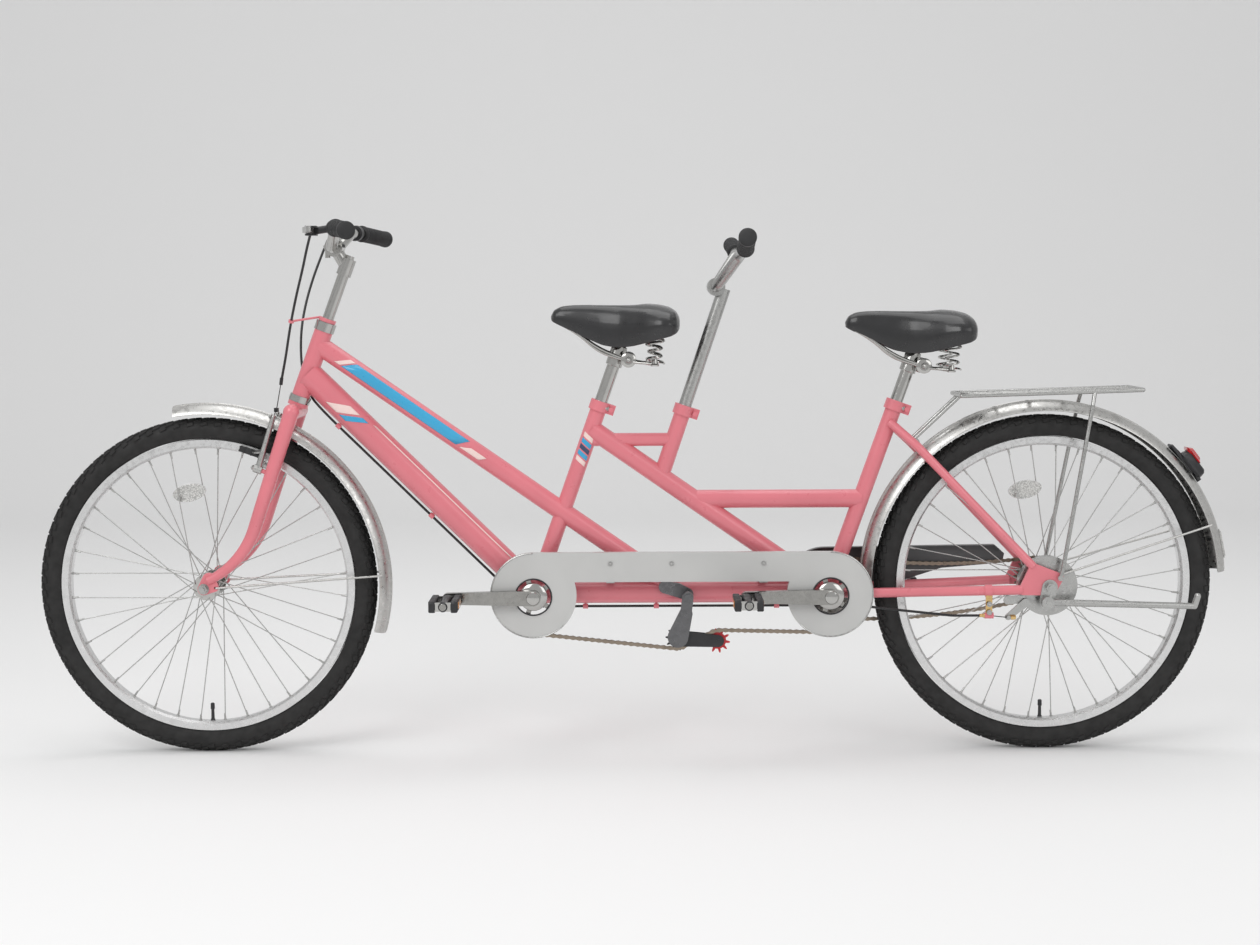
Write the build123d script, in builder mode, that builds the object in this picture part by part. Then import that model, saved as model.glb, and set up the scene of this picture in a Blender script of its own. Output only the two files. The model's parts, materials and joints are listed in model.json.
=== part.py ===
"""Tandem bicycle: one long frame, two riders in line, a timing chain that joins the two cranks.

Millimetres. The bicycle stands on Z = 0, its front is at -X, and its left side is at -Y.
"""
import os
from math import acos, atan2, cos, degrees, hypot, pi, radians, sin, sqrt, tan

from build123d import *

os.makedirs("parts", exist_ok=True)

# ---------------------------------------------------------------- driving dimensions
# Frame layout
front_centre = 643.0        # front axle to front bottom bracket, measured level
bb_spacing = 578.0          # between the two bottom brackets
chainstay_reach = 424.0     # rear bottom bracket to rear axle, measured level
bb_height = 315.0
head_lean = 20.4            # steering axis, degrees from upright
front_seat_lean = 19.4
rear_seat_lean = 19.6
stoker_lean = 18.7
head_low, head_high = 706.0, 832.0
front_collar_top, rear_collar_top, stoker_collar_top = 693.0, 691.5, 684.0

# Tubes: outer radii and walls
head_tube_radius, head_tube_wall = 18.0, 3.0
top_tube_radius, down_tube_radius, boom_radius = 19.0, 26.5, 22.0
cross_tube_radius, brace_radius, stoker_tube_radius = 18.0, 13.0, 15.9
tube_wall = 1.8
seat_tube_radius = 15.9
chain_stay_radius, seat_stay_radius = 9.5, 8.5
bb_shell_radius, bb_shell_half = 20.5, 34.0
post_radius = 12.7
running_gap = 0.05          # radial, on shafts, posts and pivots
side_gap = 0.4              # between faces that pass each other
weld_gap = 0.02

# Wheels
tyre_radius, tyre_section = 332.0, 24.0
tyre_wall = 3.5
rim_radius, rim_depth, rim_half, rim_wall = 289.0, 17.0, 14.0, 1.6
spoke_count, spoke_radius, spoke_cross = 36, 1.0, 3
flange_radius, flange_thickness = 26.0, 3.0
front_flange_y, rear_flange_y = 30.0, 30.0
front_axle_radius, rear_axle_radius = 4.5, 5.0
front_dropout_y, rear_dropout_y = 50.0, 70.0
dropout_thickness = 6.0
fender_radius, fender_half, fender_wall, fender_drop = 360.0, 30.0, 1.5, 20.0
front_fender_arc = (-15.5, 100.0)       # degrees from straight back, towards the top
rear_fender_arc = (3.5, 184.0)
reflector_length, reflector_height, reflector_depth = 64.0, 34.0, 9.0
reflector_radius, reflector_angle = 187.0, 101.0

# Drive
chain_pitch, roller_radius = 12.7, 3.6
chain_height, link_wall, link_inner = 8.0, 1.4, 4.6
timing_y, drive_y = -58.0, 58.0
timing_teeth, drive_teeth, freewheel_teeth, pulley_teeth = 36, 32, 20, 10
sprocket_thickness = 2.4
crank_length, crank_thickness, crank_inner_y = 165.0, 14.0, 72.0
spindle_radius = 8.5
pedal_axle_radius, pedal_start, pedal_width, pedal_length, pedal_height = 6.0, 96.0, 92.0, 58.0, 24.0
case_radius, case_face_y, case_depth, case_hole_radius, case_wall = 84.0, 66.0, 12.0, 34.0, 1.5
case_strip_height = 58.0
drive_chain_sag = 15.0

# Steering
fork_rake = 45.5
steerer_radius, quill_radius = 12.7, 11.1
crown_height, crown_radius = 676.0, 16.0
blade_y, blade_top_radius, blade_tip_radius = 50.0, 14.0, 9.0
bar_radius, bar_clamp_radius, bar_half = 11.1, 12.7, 284.0
grip_radius, grip_length = 17.0, 116.0

# ---------------------------------------------------------------- stations worked out from them
wheelbase = front_centre + bb_spacing + chainstay_reach
front_axle_x = -(wheelbase + fender_radius - tyre_radius) / 2
front_bb_x = front_axle_x + front_centre
rear_bb_x = front_bb_x + bb_spacing
rear_axle_x = rear_bb_x + chainstay_reach
axle_z = tyre_radius
lean = radians(head_lean)
axis_foot_x = front_axle_x + fork_rake * cos(lean)
axis_foot_z = axle_z - fork_rake * sin(lean)


def steer(height, forward=0.0, side=0.0):
    """A point beside the steering axis: at a height on the axis, then forward of it and sideways."""
    x = axis_foot_x + (height - axis_foot_z) * tan(lean)
    return Vector(x - forward * cos(lean), side, height + forward * sin(lean))


def seat_axis(bb_x, lean_degrees, height):
    """A point on a seat tube's axis at a height."""
    return Vector(bb_x + (height - bb_height) * tan(radians(lean_degrees)), 0, height)


def front_seat(height):
    return seat_axis(front_bb_x, front_seat_lean, height)


def rear_seat(height):
    return seat_axis(rear_bb_x, rear_seat_lean, height)


front_bb = Vector(front_bb_x, 0, bb_height)
rear_bb = Vector(rear_bb_x, 0, bb_height)
front_axle_at = Vector(front_axle_x, 0, axle_z)
rear_axle_at = Vector(rear_axle_x, 0, axle_z)
across = Vector(0, 1, 0)

# Ends of the sloping tubes
top_tube_head = steer(805)
down_tube_head = steer(748)
boom_joint = front_bb + Vector(286, 0, 0)           # where the front diagonal meets the boom
diagonal_top = front_seat(638)
cross_tube_z = 499.0
brace_z = 617.0


def line_x_at(start, end, z):
    """The x of a straight line between two points at a height."""
    return start.X + (end.X - start.X) * (z - start.Z) / (end.Z - start.Z)


def meeting(start, end, other_start, other_end):
    """Where two lines in the XZ plane cross."""
    a, b = end - start, other_end - other_start
    gap = other_start - start
    t = (gap.X * b.Z - gap.Z * b.X) / (a.X * b.Z - a.Z * b.X)
    return start + a * t


top_tube_foot = meeting(top_tube_head, boom_joint, front_bb, front_seat(600))
stoker_up = Vector(sin(radians(stoker_lean)), 0, cos(radians(stoker_lean)))
stoker_top = rear_bb + Vector(-280.5, 0, 0) + Vector(0, 0, stoker_collar_top - bb_height)
stoker_foot = meeting(stoker_top, stoker_top - stoker_up * 100, diagonal_top, rear_bb)
cross_tube_start = Vector(line_x_at(diagonal_top, rear_bb, cross_tube_z), 0, cross_tube_z)
cross_tube_end = rear_seat(cross_tube_z)


# ---------------------------------------------------------------- shared shapes
def rod(start, end, radius, mode=Mode.ADD):
    """A round bar between two points."""
    start, run = Vector(*start), Vector(*end) - Vector(*start)
    with Locations(Plane(origin=start, z_dir=run).location):
        Cylinder(radius, run.length, align=(Align.CENTER, Align.CENTER, Align.MIN), mode=mode)


def taper(start, end, start_radius, end_radius):
    """A tapering round bar between two points."""
    start, run = Vector(*start), Vector(*end) - Vector(*start)
    with Locations(Plane(origin=start, z_dir=run).location):
        Cone(start_radius, end_radius, run.length, align=(Align.CENTER, Align.CENTER, Align.MIN))


def pipe(start, end, radius, wall):
    """A hollow round tube between two points."""
    start, run = Vector(*start), Vector(*end) - Vector(*start)
    with BuildSketch(Plane(origin=start, z_dir=run)) as ring:
        Circle(radius)
        Circle(radius - wall, mode=Mode.SUBTRACT)
    extrude(ring.sketch, amount=run.length)


def ball(centre, radius):
    with Locations(Vector(*centre)):
        Sphere(radius)


def bent_bar(points, radii, radius):
    """A round bar along straight runs joined by arcs."""
    with BuildLine() as run:
        FilletPolyline(*points, radius=radii)
    with BuildSketch(Plane(origin=run.line @ 0, z_dir=run.line % 0)) as section:
        Circle(radius)
    sweep(section.sketch, path=run.line)


def washer(centre, y_from, y_to, outer, inner):
    """A disc with a hole, its axis across the bicycle."""
    with BuildSketch(Plane(origin=(centre.X, y_from, centre.Z), z_dir=(0, 1, 0))) as ring:
        Circle(outer)
        if inner:
            Circle(inner, mode=Mode.SUBTRACT)
    extrude(ring.sketch, amount=y_to - y_from)


def box_between(low, high, mode=Mode.ADD):
    low, high = Vector(*low), Vector(*high)
    with Locations((low + high) / 2):
        Box(high.X - low.X, high.Y - low.Y, high.Z - low.Z, mode=mode)


def side_plane(y):
    """A plane across the bicycle: its local x is +X and its local y is +Z, and it faces -Y."""
    return Plane(origin=(0, y, 0), x_dir=(1, 0, 0), z_dir=(0, -1, 0))


def cut_head_tube():
    rod(steer(head_low - 20), steer(head_high + 20), head_tube_radius + weld_gap, Mode.SUBTRACT)


def cut_seat_tubes():
    for axis, top in ((front_seat, front_collar_top), (rear_seat, rear_collar_top)):
        rod(axis(bb_height), axis(top), seat_tube_radius + weld_gap, Mode.SUBTRACT)


def cut_shells():
    for centre in (front_bb, rear_bb):
        reach = across * (bb_shell_half + 5)
        rod(centre - reach, centre + reach, bb_shell_radius + weld_gap, Mode.SUBTRACT)


def cut_rear_diagonal():
    rod(diagonal_top, rear_bb, top_tube_radius + weld_gap, Mode.SUBTRACT)


# ---------------------------------------------------------------- chains and sprockets
def pitch_radius(teeth):
    return chain_pitch / (2 * sin(pi / teeth))


def tangents(loop):
    """The straight runs of a chain: for each wheel (x, z, radius, turn), its run to the next one.

    turn is +1 where the chain goes anticlockwise round the wheel, seen from the left side.
    """
    runs = []
    for index, (x1, z1, r1, s1) in enumerate(loop):
        x2, z2, r2, s2 = loop[(index + 1) % len(loop)]
        span = hypot(x2 - x1, z2 - z1)
        normal = atan2(z2 - z1, x2 - x1) + acos((s2 * r2 - s1 * r1) / span)
        nx, nz = cos(normal), sin(normal)
        runs.append(((x1 - s1 * r1 * nx, z1 - s1 * r1 * nz), (x2 - s2 * r2 * nx, z2 - s2 * r2 * nz)))
    return runs


def loop_face(loop, offset, sag, mode=Mode.ADD):
    """The area inside a chain's line, moved outwards by an offset, in the sketch being drawn."""
    wheels = [(x, z, r + s * offset, s) for x, z, r, s in loop]
    runs = tangents(wheels)
    with BuildLine() as outline:
        for index, (x, z, r, s) in enumerate(wheels):
            arrive, (leave, onward) = runs[index - 1][1], runs[index]
            start = degrees(atan2(arrive[1] - z, arrive[0] - x))
            stop = degrees(atan2(leave[1] - z, leave[0] - x))
            CenterArc((x, z), r, start, (stop - start) % 360 if s > 0 else -((start - stop) % 360))
            if sag:
                middle = ((leave[0] + onward[0]) / 2, (leave[1] + onward[1]) / 2 - sag)
                ThreePointArc(leave, middle, onward)
            else:
                Line(leave, onward)
    make_face(outline.edges(), mode=mode)


def roller_places(loop, sag):
    """Roller centres: one tooth apart round each wheel, and evenly spaced on the way to the next."""
    runs = tangents(loop)
    places = []
    for index, (x, z, r, s) in enumerate(loop):
        arrive, (leave, onward) = runs[index - 1][1], runs[index]
        step = roller_step(r)
        start = atan2(arrive[1] - z, arrive[0] - x)
        stop = atan2(leave[1] - z, leave[0] - x)
        wrap = (stop - start) % (2 * pi) if s > 0 else (start - stop) % (2 * pi)
        whole = int(wrap / step)
        for k in range(whole + 1):
            places.append((x + r * cos(start + s * k * step), z + r * sin(start + s * k * step)))
        rest_of_arc = (wrap - whole * step) * r
        length = hypot(onward[0] - leave[0], onward[1] - leave[1])
        count = round((rest_of_arc + length) / chain_pitch)
        for k in range(1, count):
            along = k * (rest_of_arc + length) / count
            if along < rest_of_arc:
                angle = start + s * (whole * step + along / r)
                places.append((x + r * cos(angle), z + r * sin(angle)))
            else:
                t = (along - rest_of_arc) / length
                drop = 4 * sag * t * (1 - t)
                places.append((leave[0] + t * (onward[0] - leave[0]),
                               leave[1] + t * (onward[1] - leave[1]) - drop))
    return places


def roller_step(radius):
    """The angle between two neighbouring rollers on a wheel."""
    return 2 * pi / round(2 * pi * radius / chain_pitch)


def chain(loop, y, sag=0.0):
    """A roller chain: two rows of side links and the rollers between them."""
    half, inner = chain_height / 2, link_inner / 2
    for inner_face, outer_face in ((y - inner, y - inner - link_wall), (y + inner + link_wall, y + inner)):
        with BuildSketch(side_plane(inner_face)) as band:
            loop_face(loop, half, sag)
            loop_face(loop, -half, sag, Mode.SUBTRACT)
        extrude(band.sketch, amount=inner_face - outer_face)
    with BuildSketch(side_plane(y + inner)) as rollers:
        with Locations(*roller_places(loop, sag)):
            Circle(roller_radius)
    extrude(rollers.sketch, amount=link_inner)


def sprocket(centre, teeth, y, phase, hole, windows=0):
    """A toothed ring whose valleys start at an angle seen from the left side."""
    radius = pitch_radius(teeth)
    root, tip = radius - 4.1, radius + 3.6
    outline = []
    for tooth in range(teeth):
        middle = phase + (tooth + 0.5) * 2 * pi / teeth
        for reach, half_width in ((root, 2.6), (radius, 2.2), (tip, 1.0)):
            outline.append((reach, middle - half_width / reach))
        for reach, half_width in ((tip, 1.0), (radius, 2.2), (root, 2.6)):
            outline.append((reach, middle + half_width / reach))
    corners = [(centre.X + r * cos(a), centre.Z + r * sin(a)) for r, a in outline]
    with BuildSketch(side_plane(y + sprocket_thickness / 2)) as disc:
        with BuildLine():
            Polyline(*corners, close=True)
        make_face()
        with Locations((centre.X, centre.Z)):
            Circle(hole, mode=Mode.SUBTRACT)
            if windows:
                with PolarLocations((root + hole) / 2, windows):
                    Circle((root - hole) / 2 - 12, mode=Mode.SUBTRACT)
    extrude(disc.sketch, amount=sprocket_thickness)


tension_pulley_at = front_bb + Vector(359, 0, -88)
guide_pulley_at = front_bb + Vector(281, 0, -83.5)
timing_radius, pulley_radius = pitch_radius(timing_teeth), pitch_radius(pulley_teeth)
timing_loop = [
    (front_bb.X, bb_height, timing_radius, 1),
    (guide_pulley_at.X, guide_pulley_at.Z, pulley_radius, 1),
    (tension_pulley_at.X, tension_pulley_at.Z, pulley_radius, -1),
    (rear_bb.X, bb_height, timing_radius, 1),
]
drive_loop = [
    (rear_bb.X, bb_height, pitch_radius(drive_teeth), 1),
    (rear_axle_x, axle_z, pitch_radius(freewheel_teeth), 1),
]


def valley_angle(loop, index):
    """The angle of the first roller on a wheel of a chain loop."""
    x, z = loop[index][:2]
    arrive = tangents(loop)[index - 1][1]
    return atan2(arrive[1] - z, arrive[0] - x)


# ---------------------------------------------------------------- frame
with BuildPart() as head_tube:
    pipe(steer(head_low), steer(head_high), head_tube_radius, head_tube_wall)
head_tube.part.label = "head_tube"
export_step(head_tube.part, "parts/head_tube.step")

with BuildPart() as top_tube:
    pipe(top_tube_head, top_tube_foot, top_tube_radius, tube_wall)
    cut_head_tube()
    cut_seat_tubes()
top_tube.part.label = "top_tube"
export_step(top_tube.part, "parts/top_tube.step")

with BuildPart() as down_tube:
    pipe(down_tube_head, front_bb, down_tube_radius, tube_wall)
    cut_head_tube()
    rod(top_tube_head, top_tube_foot, top_tube_radius + weld_gap, Mode.SUBTRACT)
    cut_seat_tubes()
    cut_shells()
down_tube.part.label = "down_tube"
export_step(down_tube.part, "parts/down_tube.step")

seat_tube_wall = seat_tube_radius - post_radius - running_gap
with BuildPart() as seat_tubes:
    for axis, top in ((front_seat, front_collar_top), (rear_seat, rear_collar_top)):
        pipe(axis(bb_height), axis(top), seat_tube_radius, seat_tube_wall)
    cut_shells()
seat_tubes.part.label = "seat_tubes"
export_step(seat_tubes.part, "parts/seat_tubes.step")

brace_start = front_seat(brace_z)
brace_end = Vector(line_x_at(stoker_foot, stoker_top, brace_z), 0, brace_z)
with BuildPart() as middle_tubes:
    pipe(brace_start, brace_end, brace_radius, tube_wall)
    rod(stoker_foot, stoker_top, stoker_tube_radius + weld_gap, Mode.SUBTRACT)
    pipe(stoker_foot, stoker_top, stoker_tube_radius, stoker_tube_radius - post_radius - running_gap)
    pipe(cross_tube_start, cross_tube_end, cross_tube_radius, tube_wall)
    cut_rear_diagonal()
    pipe(top_tube_foot, boom_joint, top_tube_radius, tube_wall)
    pipe(diagonal_top, rear_bb, top_tube_radius, tube_wall)
    rod(front_bb, rear_bb, boom_radius + weld_gap, Mode.SUBTRACT)
    pipe(front_bb, rear_bb, boom_radius, tube_wall)
    cut_seat_tubes()
    cut_shells()
    rod(down_tube_head, front_bb, down_tube_radius + weld_gap, Mode.SUBTRACT)
middle_tubes.part.label = "middle_tubes"
export_step(middle_tubes.part, "parts/middle_tubes.step")

# The rear stays bend outwards to pass the fender, then run to the dropouts.
chain_stay_bend = (66.0, 42.5, 2.0)         # behind, beside and above the bottom bracket
chain_stay_end = (-52.0, 70.0, -6.0)        # from the rear axle
seat_stay_top_z, seat_stay_bend = 650.0, (553.0, 42.0, 606.0)
seat_stay_end = (-32.0, 71.5, 40.0)
eyelet_at, eyelet_radius = (19.0, 19.0), 2.5


def stay_point(x, side):
    """A point on a chain stay's axis, behind its bend."""
    start = rear_bb + Vector(chain_stay_bend[0], side * chain_stay_bend[1], chain_stay_bend[2])
    end = rear_axle_at + Vector(chain_stay_end[0], side * chain_stay_end[1], chain_stay_end[2])
    return start + (end - start) * ((x - start.X) / (end.X - start.X))


with BuildPart() as rear_triangle:
    for side in (-1, 1):
        low_start = rear_bb + Vector(0, side * 20, 0)
        low_bend = rear_bb + Vector(chain_stay_bend[0], side * chain_stay_bend[1], chain_stay_bend[2])
        low_end = rear_axle_at + Vector(chain_stay_end[0], side * chain_stay_end[1], chain_stay_end[2])
        bent_bar([low_start, low_bend, low_end], [90], chain_stay_radius)
        high_start = rear_seat(seat_stay_top_z) + Vector(0, side * 16, 0)
        high_bend = Vector(seat_stay_bend[0], side * seat_stay_bend[1], seat_stay_bend[2])
        high_end = rear_axle_at + Vector(seat_stay_end[0], side * seat_stay_end[1], seat_stay_end[2])
        bent_bar([high_start, high_bend, high_end], [60], seat_stay_radius)
        outer_face = side * rear_dropout_y if side < 0 else rear_dropout_y + dropout_thickness
        with BuildSketch(side_plane(outer_face)) as dropout:
            with Locations((rear_axle_x, axle_z)):
                with Locations((0, 0)):
                    Circle(16)
                with Locations((chain_stay_end[0] + 2, chain_stay_end[2])):
                    Circle(chain_stay_radius)
                with Locations((seat_stay_end[0] + 1, seat_stay_end[2] - 2)):
                    Circle(seat_stay_radius)
                with Locations(eyelet_at):
                    Circle(8)
            make_hull()
            with Locations((rear_axle_x, axle_z)):
                Circle(rear_axle_radius + weld_gap, mode=Mode.SUBTRACT)
                with Locations(eyelet_at):
                    Circle(eyelet_radius, mode=Mode.SUBTRACT)
        extrude(dropout.sketch, amount=dropout_thickness)
    stay_bridge = Vector(seat_stay_bend[0], 0, seat_stay_bend[2] + 3)
    rod(stay_bridge - across * 40, stay_bridge + across * 40, 6)
    low_bridge = rear_bb + Vector(50, 0, 1.5)
    rod(low_bridge - across * 36, low_bridge + across * 36, 6)
    cut_shells()
    cut_seat_tubes()
    rod(front_bb, rear_bb, boom_radius + weld_gap, Mode.SUBTRACT)
rear_triangle.part.label = "rear_triangle"
export_step(rear_triangle.part, "parts/rear_triangle.step")

shell_bore = bb_shell_radius - 3.5
with BuildPart() as bottom_bracket_shells:
    for centre in (front_bb, rear_bb):
        washer(centre, -bb_shell_half, bb_shell_half, bb_shell_radius, shell_bore)
bottom_bracket_shells.part.label = "bottom_bracket_shells"
export_step(bottom_bracket_shells.part, "parts/bottom_bracket_shells.step")

cup_bore = steerer_radius + running_gap
lower_cup_height, upper_cup_height = 12.0, 17.0
with BuildPart() as bearing_cups:
    pipe(steer(head_low - lower_cup_height), steer(head_low), 21, 21 - cup_bore)
    pipe(steer(head_high), steer(head_high + upper_cup_height), 20, 20 - cup_bore)
    for centre in (front_bb, rear_bb):
        for side in (-1, 1):
            inner, flange, outer = (side * y for y in (bb_shell_half - 12, bb_shell_half, bb_shell_half + 4))
            washer(centre, min(inner, flange), max(inner, flange), shell_bore, spindle_radius + running_gap)
            washer(centre, min(flange, outer), max(flange, outer), bb_shell_radius - 1,
                   spindle_radius + running_gap)
bearing_cups.part.label = "bearing_cups"
export_step(bearing_cups.part, "parts/bearing_cups.step")

# Collars that pinch the seat posts and the stoker's stem post
collar_height, collar_radius = 22.0, 20.0


def seat_collar(axis_top, up):
    """A split collar at the top of a tube, its bolt behind it."""
    with BuildSketch(Plane(origin=axis_top - up * (collar_height - 2), x_dir=(0, 1, 0), z_dir=up)) as band:
        Circle(collar_radius)
        with Locations((0, -collar_radius - 3)):
            Rectangle(15, 16)
        Circle(seat_tube_radius + weld_gap, mode=Mode.SUBTRACT)
        with Locations((0, -collar_radius - 2)):
            Rectangle(2, 20, mode=Mode.SUBTRACT)
    extrude(band.sketch, amount=collar_height - 2)
    bolt = axis_top - up * 10 + Vector(up.Z, 0, -up.X) * (collar_radius + 4)
    rod(bolt - across * 13, bolt + across * 13, 3)
    rod(bolt - across * 13, bolt - across * 7.5, 5)
    rod(bolt + across * 7.5, bolt + across * 13, 5)


# ---------------------------------------------------------------- drive train on the frame
case_top = bb_height + 87
with BuildPart() as timing_chain_case:
    with BuildSketch(side_plane(-case_face_y + case_depth)) as case_outline:
        for centre in (front_bb, rear_bb):
            with Locations((centre.X, bb_height + 3)):
                Circle(case_radius)
        with Locations(((front_bb_x + rear_bb_x) / 2, case_top - case_strip_height / 2)):
            Rectangle(bb_spacing, case_strip_height)
    extrude(case_outline.sketch, amount=case_depth)
    with BuildSketch(side_plane(-case_face_y + case_depth)) as case_inside:
        add(case_outline.sketch_local)
        offset(amount=-case_wall)
    extrude(case_inside.sketch, amount=case_depth - case_wall, mode=Mode.SUBTRACT)
    for centre in (front_bb, rear_bb):
        rod(centre - across * case_face_y * 1.1, centre, case_hole_radius, Mode.SUBTRACT)
    exit_low, exit_high = bb_height - case_radius - 2, bb_height - case_radius + 24
    inner_y, plate_y = -case_face_y + case_depth + 1, -case_face_y + case_wall
    box_between((front_bb_x + 12, plate_y, exit_low), (front_bb_x + 90, inner_y, exit_high), Mode.SUBTRACT)
    box_between((rear_bb_x - 90, plate_y, exit_low), (rear_bb_x - 12, inner_y, exit_high), Mode.SUBTRACT)
    for x in (front_bb_x + 150, rear_bb_x - 130):
        strap_top = case_top - case_strip_height
        box_between((x - 8, -case_face_y + 4, strap_top - 2.5), (x + 8, 0, strap_top))
        box_between((x - 8, -10, bb_height + boom_radius + weld_gap), (x + 8, 0, strap_top))
timing_chain_case.part.label = "timing_chain_case"
export_step(timing_chain_case.part, "parts/timing_chain_case.step")

guard_face_y, guard_depth, guard_wall, guard_radius = 66.0, 15.0, 1.5, 80.0
with BuildPart() as drive_chain_guard:
    with BuildSketch(side_plane(guard_face_y)) as guard_outline:
        with Locations((rear_bb_x, bb_height)):
            Circle(guard_radius)
        with BuildLine():
            Polyline(
                (rear_bb_x, bb_height),
                (rear_bb_x, bb_height + guard_radius),
                (rear_axle_x - 84, axle_z + 67),
                (rear_axle_x - 62, axle_z + 48),
                (rear_axle_x - 66, axle_z + 29),
                (rear_bb_x + 236, bb_height + 36),
                (rear_bb_x + 166, bb_height + 14),
                (rear_bb_x + 60, bb_height - 40),
                close=True,
            )
        make_face()
    extrude(guard_outline.sketch, amount=guard_depth)
    with BuildSketch(side_plane(guard_face_y - guard_wall)) as guard_inside:
        add(guard_outline.sketch_local)
        offset(amount=-guard_wall)
    extrude(guard_inside.sketch, amount=guard_depth, mode=Mode.SUBTRACT)
    rod(rear_bb, rear_bb + across * 80, 30, Mode.SUBTRACT)
    box_between((rear_bb_x - 5, guard_face_y - guard_depth - 1, bb_height - guard_radius - 2),
                (rear_axle_x, guard_face_y - guard_wall, bb_height - 30), Mode.SUBTRACT)
    box_between((rear_bb_x + 60, guard_face_y - guard_depth - 1, bb_height - 41),
                (rear_axle_x, guard_face_y - guard_wall, axle_z + 55), Mode.SUBTRACT)
    guard_strap_x = rear_bb_x + 150
    strap_y = guard_face_y - guard_depth
    box_between((guard_strap_x - 6, strap_y, bb_height + 4), (guard_strap_x + 6, strap_y + 2.4, bb_height + 81))
    rod(stay_point(guard_strap_x - 20, 1), stay_point(guard_strap_x + 20, 1), chain_stay_radius + weld_gap,
        Mode.SUBTRACT)
drive_chain_guard.part.label = "drive_chain_guard"
export_step(drive_chain_guard.part, "parts/drive_chain_guard.step")

with BuildPart() as timing_chain:
    chain(timing_loop, timing_y)
timing_chain.part.label = "timing_chain"
export_step(timing_chain.part, "parts/timing_chain.step")

with BuildPart() as drive_chain:
    chain(drive_loop, drive_y, drive_chain_sag)
drive_chain.part.label = "drive_chain"
export_step(drive_chain.part, "parts/drive_chain.step")

# Chain tensioner: hanger on the boom, body, sprung cage and two pulleys
hanger_bolt = front_bb + Vector(300.5, 0, -1)
tensioner_face_y = -66.0
pulley_bolt_radius = 3.0
with BuildPart() as tensioner_body:
    with BuildSketch(side_plane(-boom_radius)) as hanger:
        with Locations((hanger_bolt.X, hanger_bolt.Z)):
            with Locations((0, 0), (-20, 10), (-44, 14)):
                Circle(12)
        make_hull()
    extrude(hanger.sketch, amount=8)
    rod(front_bb, rear_bb, boom_radius + weld_gap, Mode.SUBTRACT)
    rod(hanger_bolt - across * 23, hanger_bolt - across * 78, 7)
    with BuildSketch(side_plane(tensioner_face_y)) as knuckle:
        with Locations((hanger_bolt.X, hanger_bolt.Z), (hanger_bolt.X - 4, hanger_bolt.Z - 32)):
            Circle(11)
        make_hull()
    extrude(knuckle.sketch, amount=9)
    with BuildSketch(side_plane(tensioner_face_y)) as link:
        with Locations((hanger_bolt.X - 4, hanger_bolt.Z - 32)):
            Circle(13)
        with Locations((guide_pulley_at.X, guide_pulley_at.Z + 4)):
            Circle(20)
        make_hull()
    extrude(link.sketch, amount=7)
    rod(guide_pulley_at - across * 70, guide_pulley_at - across * 50, pulley_bolt_radius)
    rod(guide_pulley_at - across * 51, guide_pulley_at - across * 49, 5)
tensioner_body.part.label = "tensioner_body"
export_step(tensioner_body.part, "parts/tensioner_body.step")

with BuildPart() as tensioner_cage:
    for face in (timing_y + 6.8, timing_y - 5.4):
        with BuildSketch(side_plane(face)) as plate:
            with Locations((guide_pulley_at.X, guide_pulley_at.Z)):
                Circle(15)
            with Locations((tension_pulley_at.X, tension_pulley_at.Z)):
                Circle(12)
            make_hull()
            with Locations((guide_pulley_at.X, guide_pulley_at.Z)):
                Circle(pulley_bolt_radius + running_gap, mode=Mode.SUBTRACT)
        extrude(plate.sketch, amount=1.4)
    rod(tension_pulley_at + across * (timing_y + 6), tension_pulley_at + across * (timing_y - 7.6),
        pulley_bolt_radius)
tensioner_cage.part.label = "tensioner_cage"
export_step(tensioner_cage.part, "parts/tensioner_cage.step")

pulley_bore = pulley_bolt_radius + running_gap
with BuildPart() as guide_pulley:
    sprocket(guide_pulley_at, pulley_teeth, timing_y, valley_angle(timing_loop, 1), pulley_bore + 3)
    washer(guide_pulley_at, timing_y - 3.6, timing_y + 3.6, 8, pulley_bore)
guide_pulley.part.label = "guide_pulley"
export_step(guide_pulley.part, "parts/guide_pulley.step")

with BuildPart() as tension_pulley:
    sprocket(tension_pulley_at, pulley_teeth, timing_y, valley_angle(timing_loop, 2), pulley_bore + 3)
    washer(tension_pulley_at, timing_y - 3.6, timing_y + 3.6, 8, pulley_bore)
tension_pulley.part.label = "tension_pulley"
export_step(tension_pulley.part, "parts/tension_pulley.step")

# ---------------------------------------------------------------- cranks and pedals
ring_outer_y = abs(timing_y) + sprocket_thickness / 2
crank_sides = ((-1, -1), (1, 1))            # the left arm points forward, the right arm back


def crankset(centre):
    """Spindle, two arms with bosses and the pedal axles, as separate solids."""
    crank_outer_y = crank_inner_y + crank_thickness
    rod(centre - across * crank_outer_y, centre + across * crank_outer_y,
        spindle_radius)
    for side, ahead in crank_sides:
        eye = centre + Vector(ahead * crank_length, 0, 0)
        face = -crank_inner_y if side < 0 else crank_inner_y + crank_thickness
        with BuildSketch(side_plane(face)) as arm:
            with Locations((centre.X, centre.Z)):
                Circle(15)
            with Locations((eye.X, eye.Z)):
                Circle(11)
            make_hull()
            with Locations((centre.X, centre.Z)):
                Circle(spindle_radius + weld_gap, mode=Mode.SUBTRACT)
            with Locations((eye.X, eye.Z)):
                Circle(pedal_axle_radius + weld_gap, mode=Mode.SUBTRACT)
        extrude(arm.sketch, amount=crank_thickness)
        inner, outer = sorted((side * (ring_outer_y + weld_gap), side * crank_inner_y))
        washer(centre, inner, outer, 15, spindle_radius + weld_gap)
        rod(eye + across * side * crank_inner_y, eye + across * side * (pedal_start + pedal_width),
            pedal_axle_radius)


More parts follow.
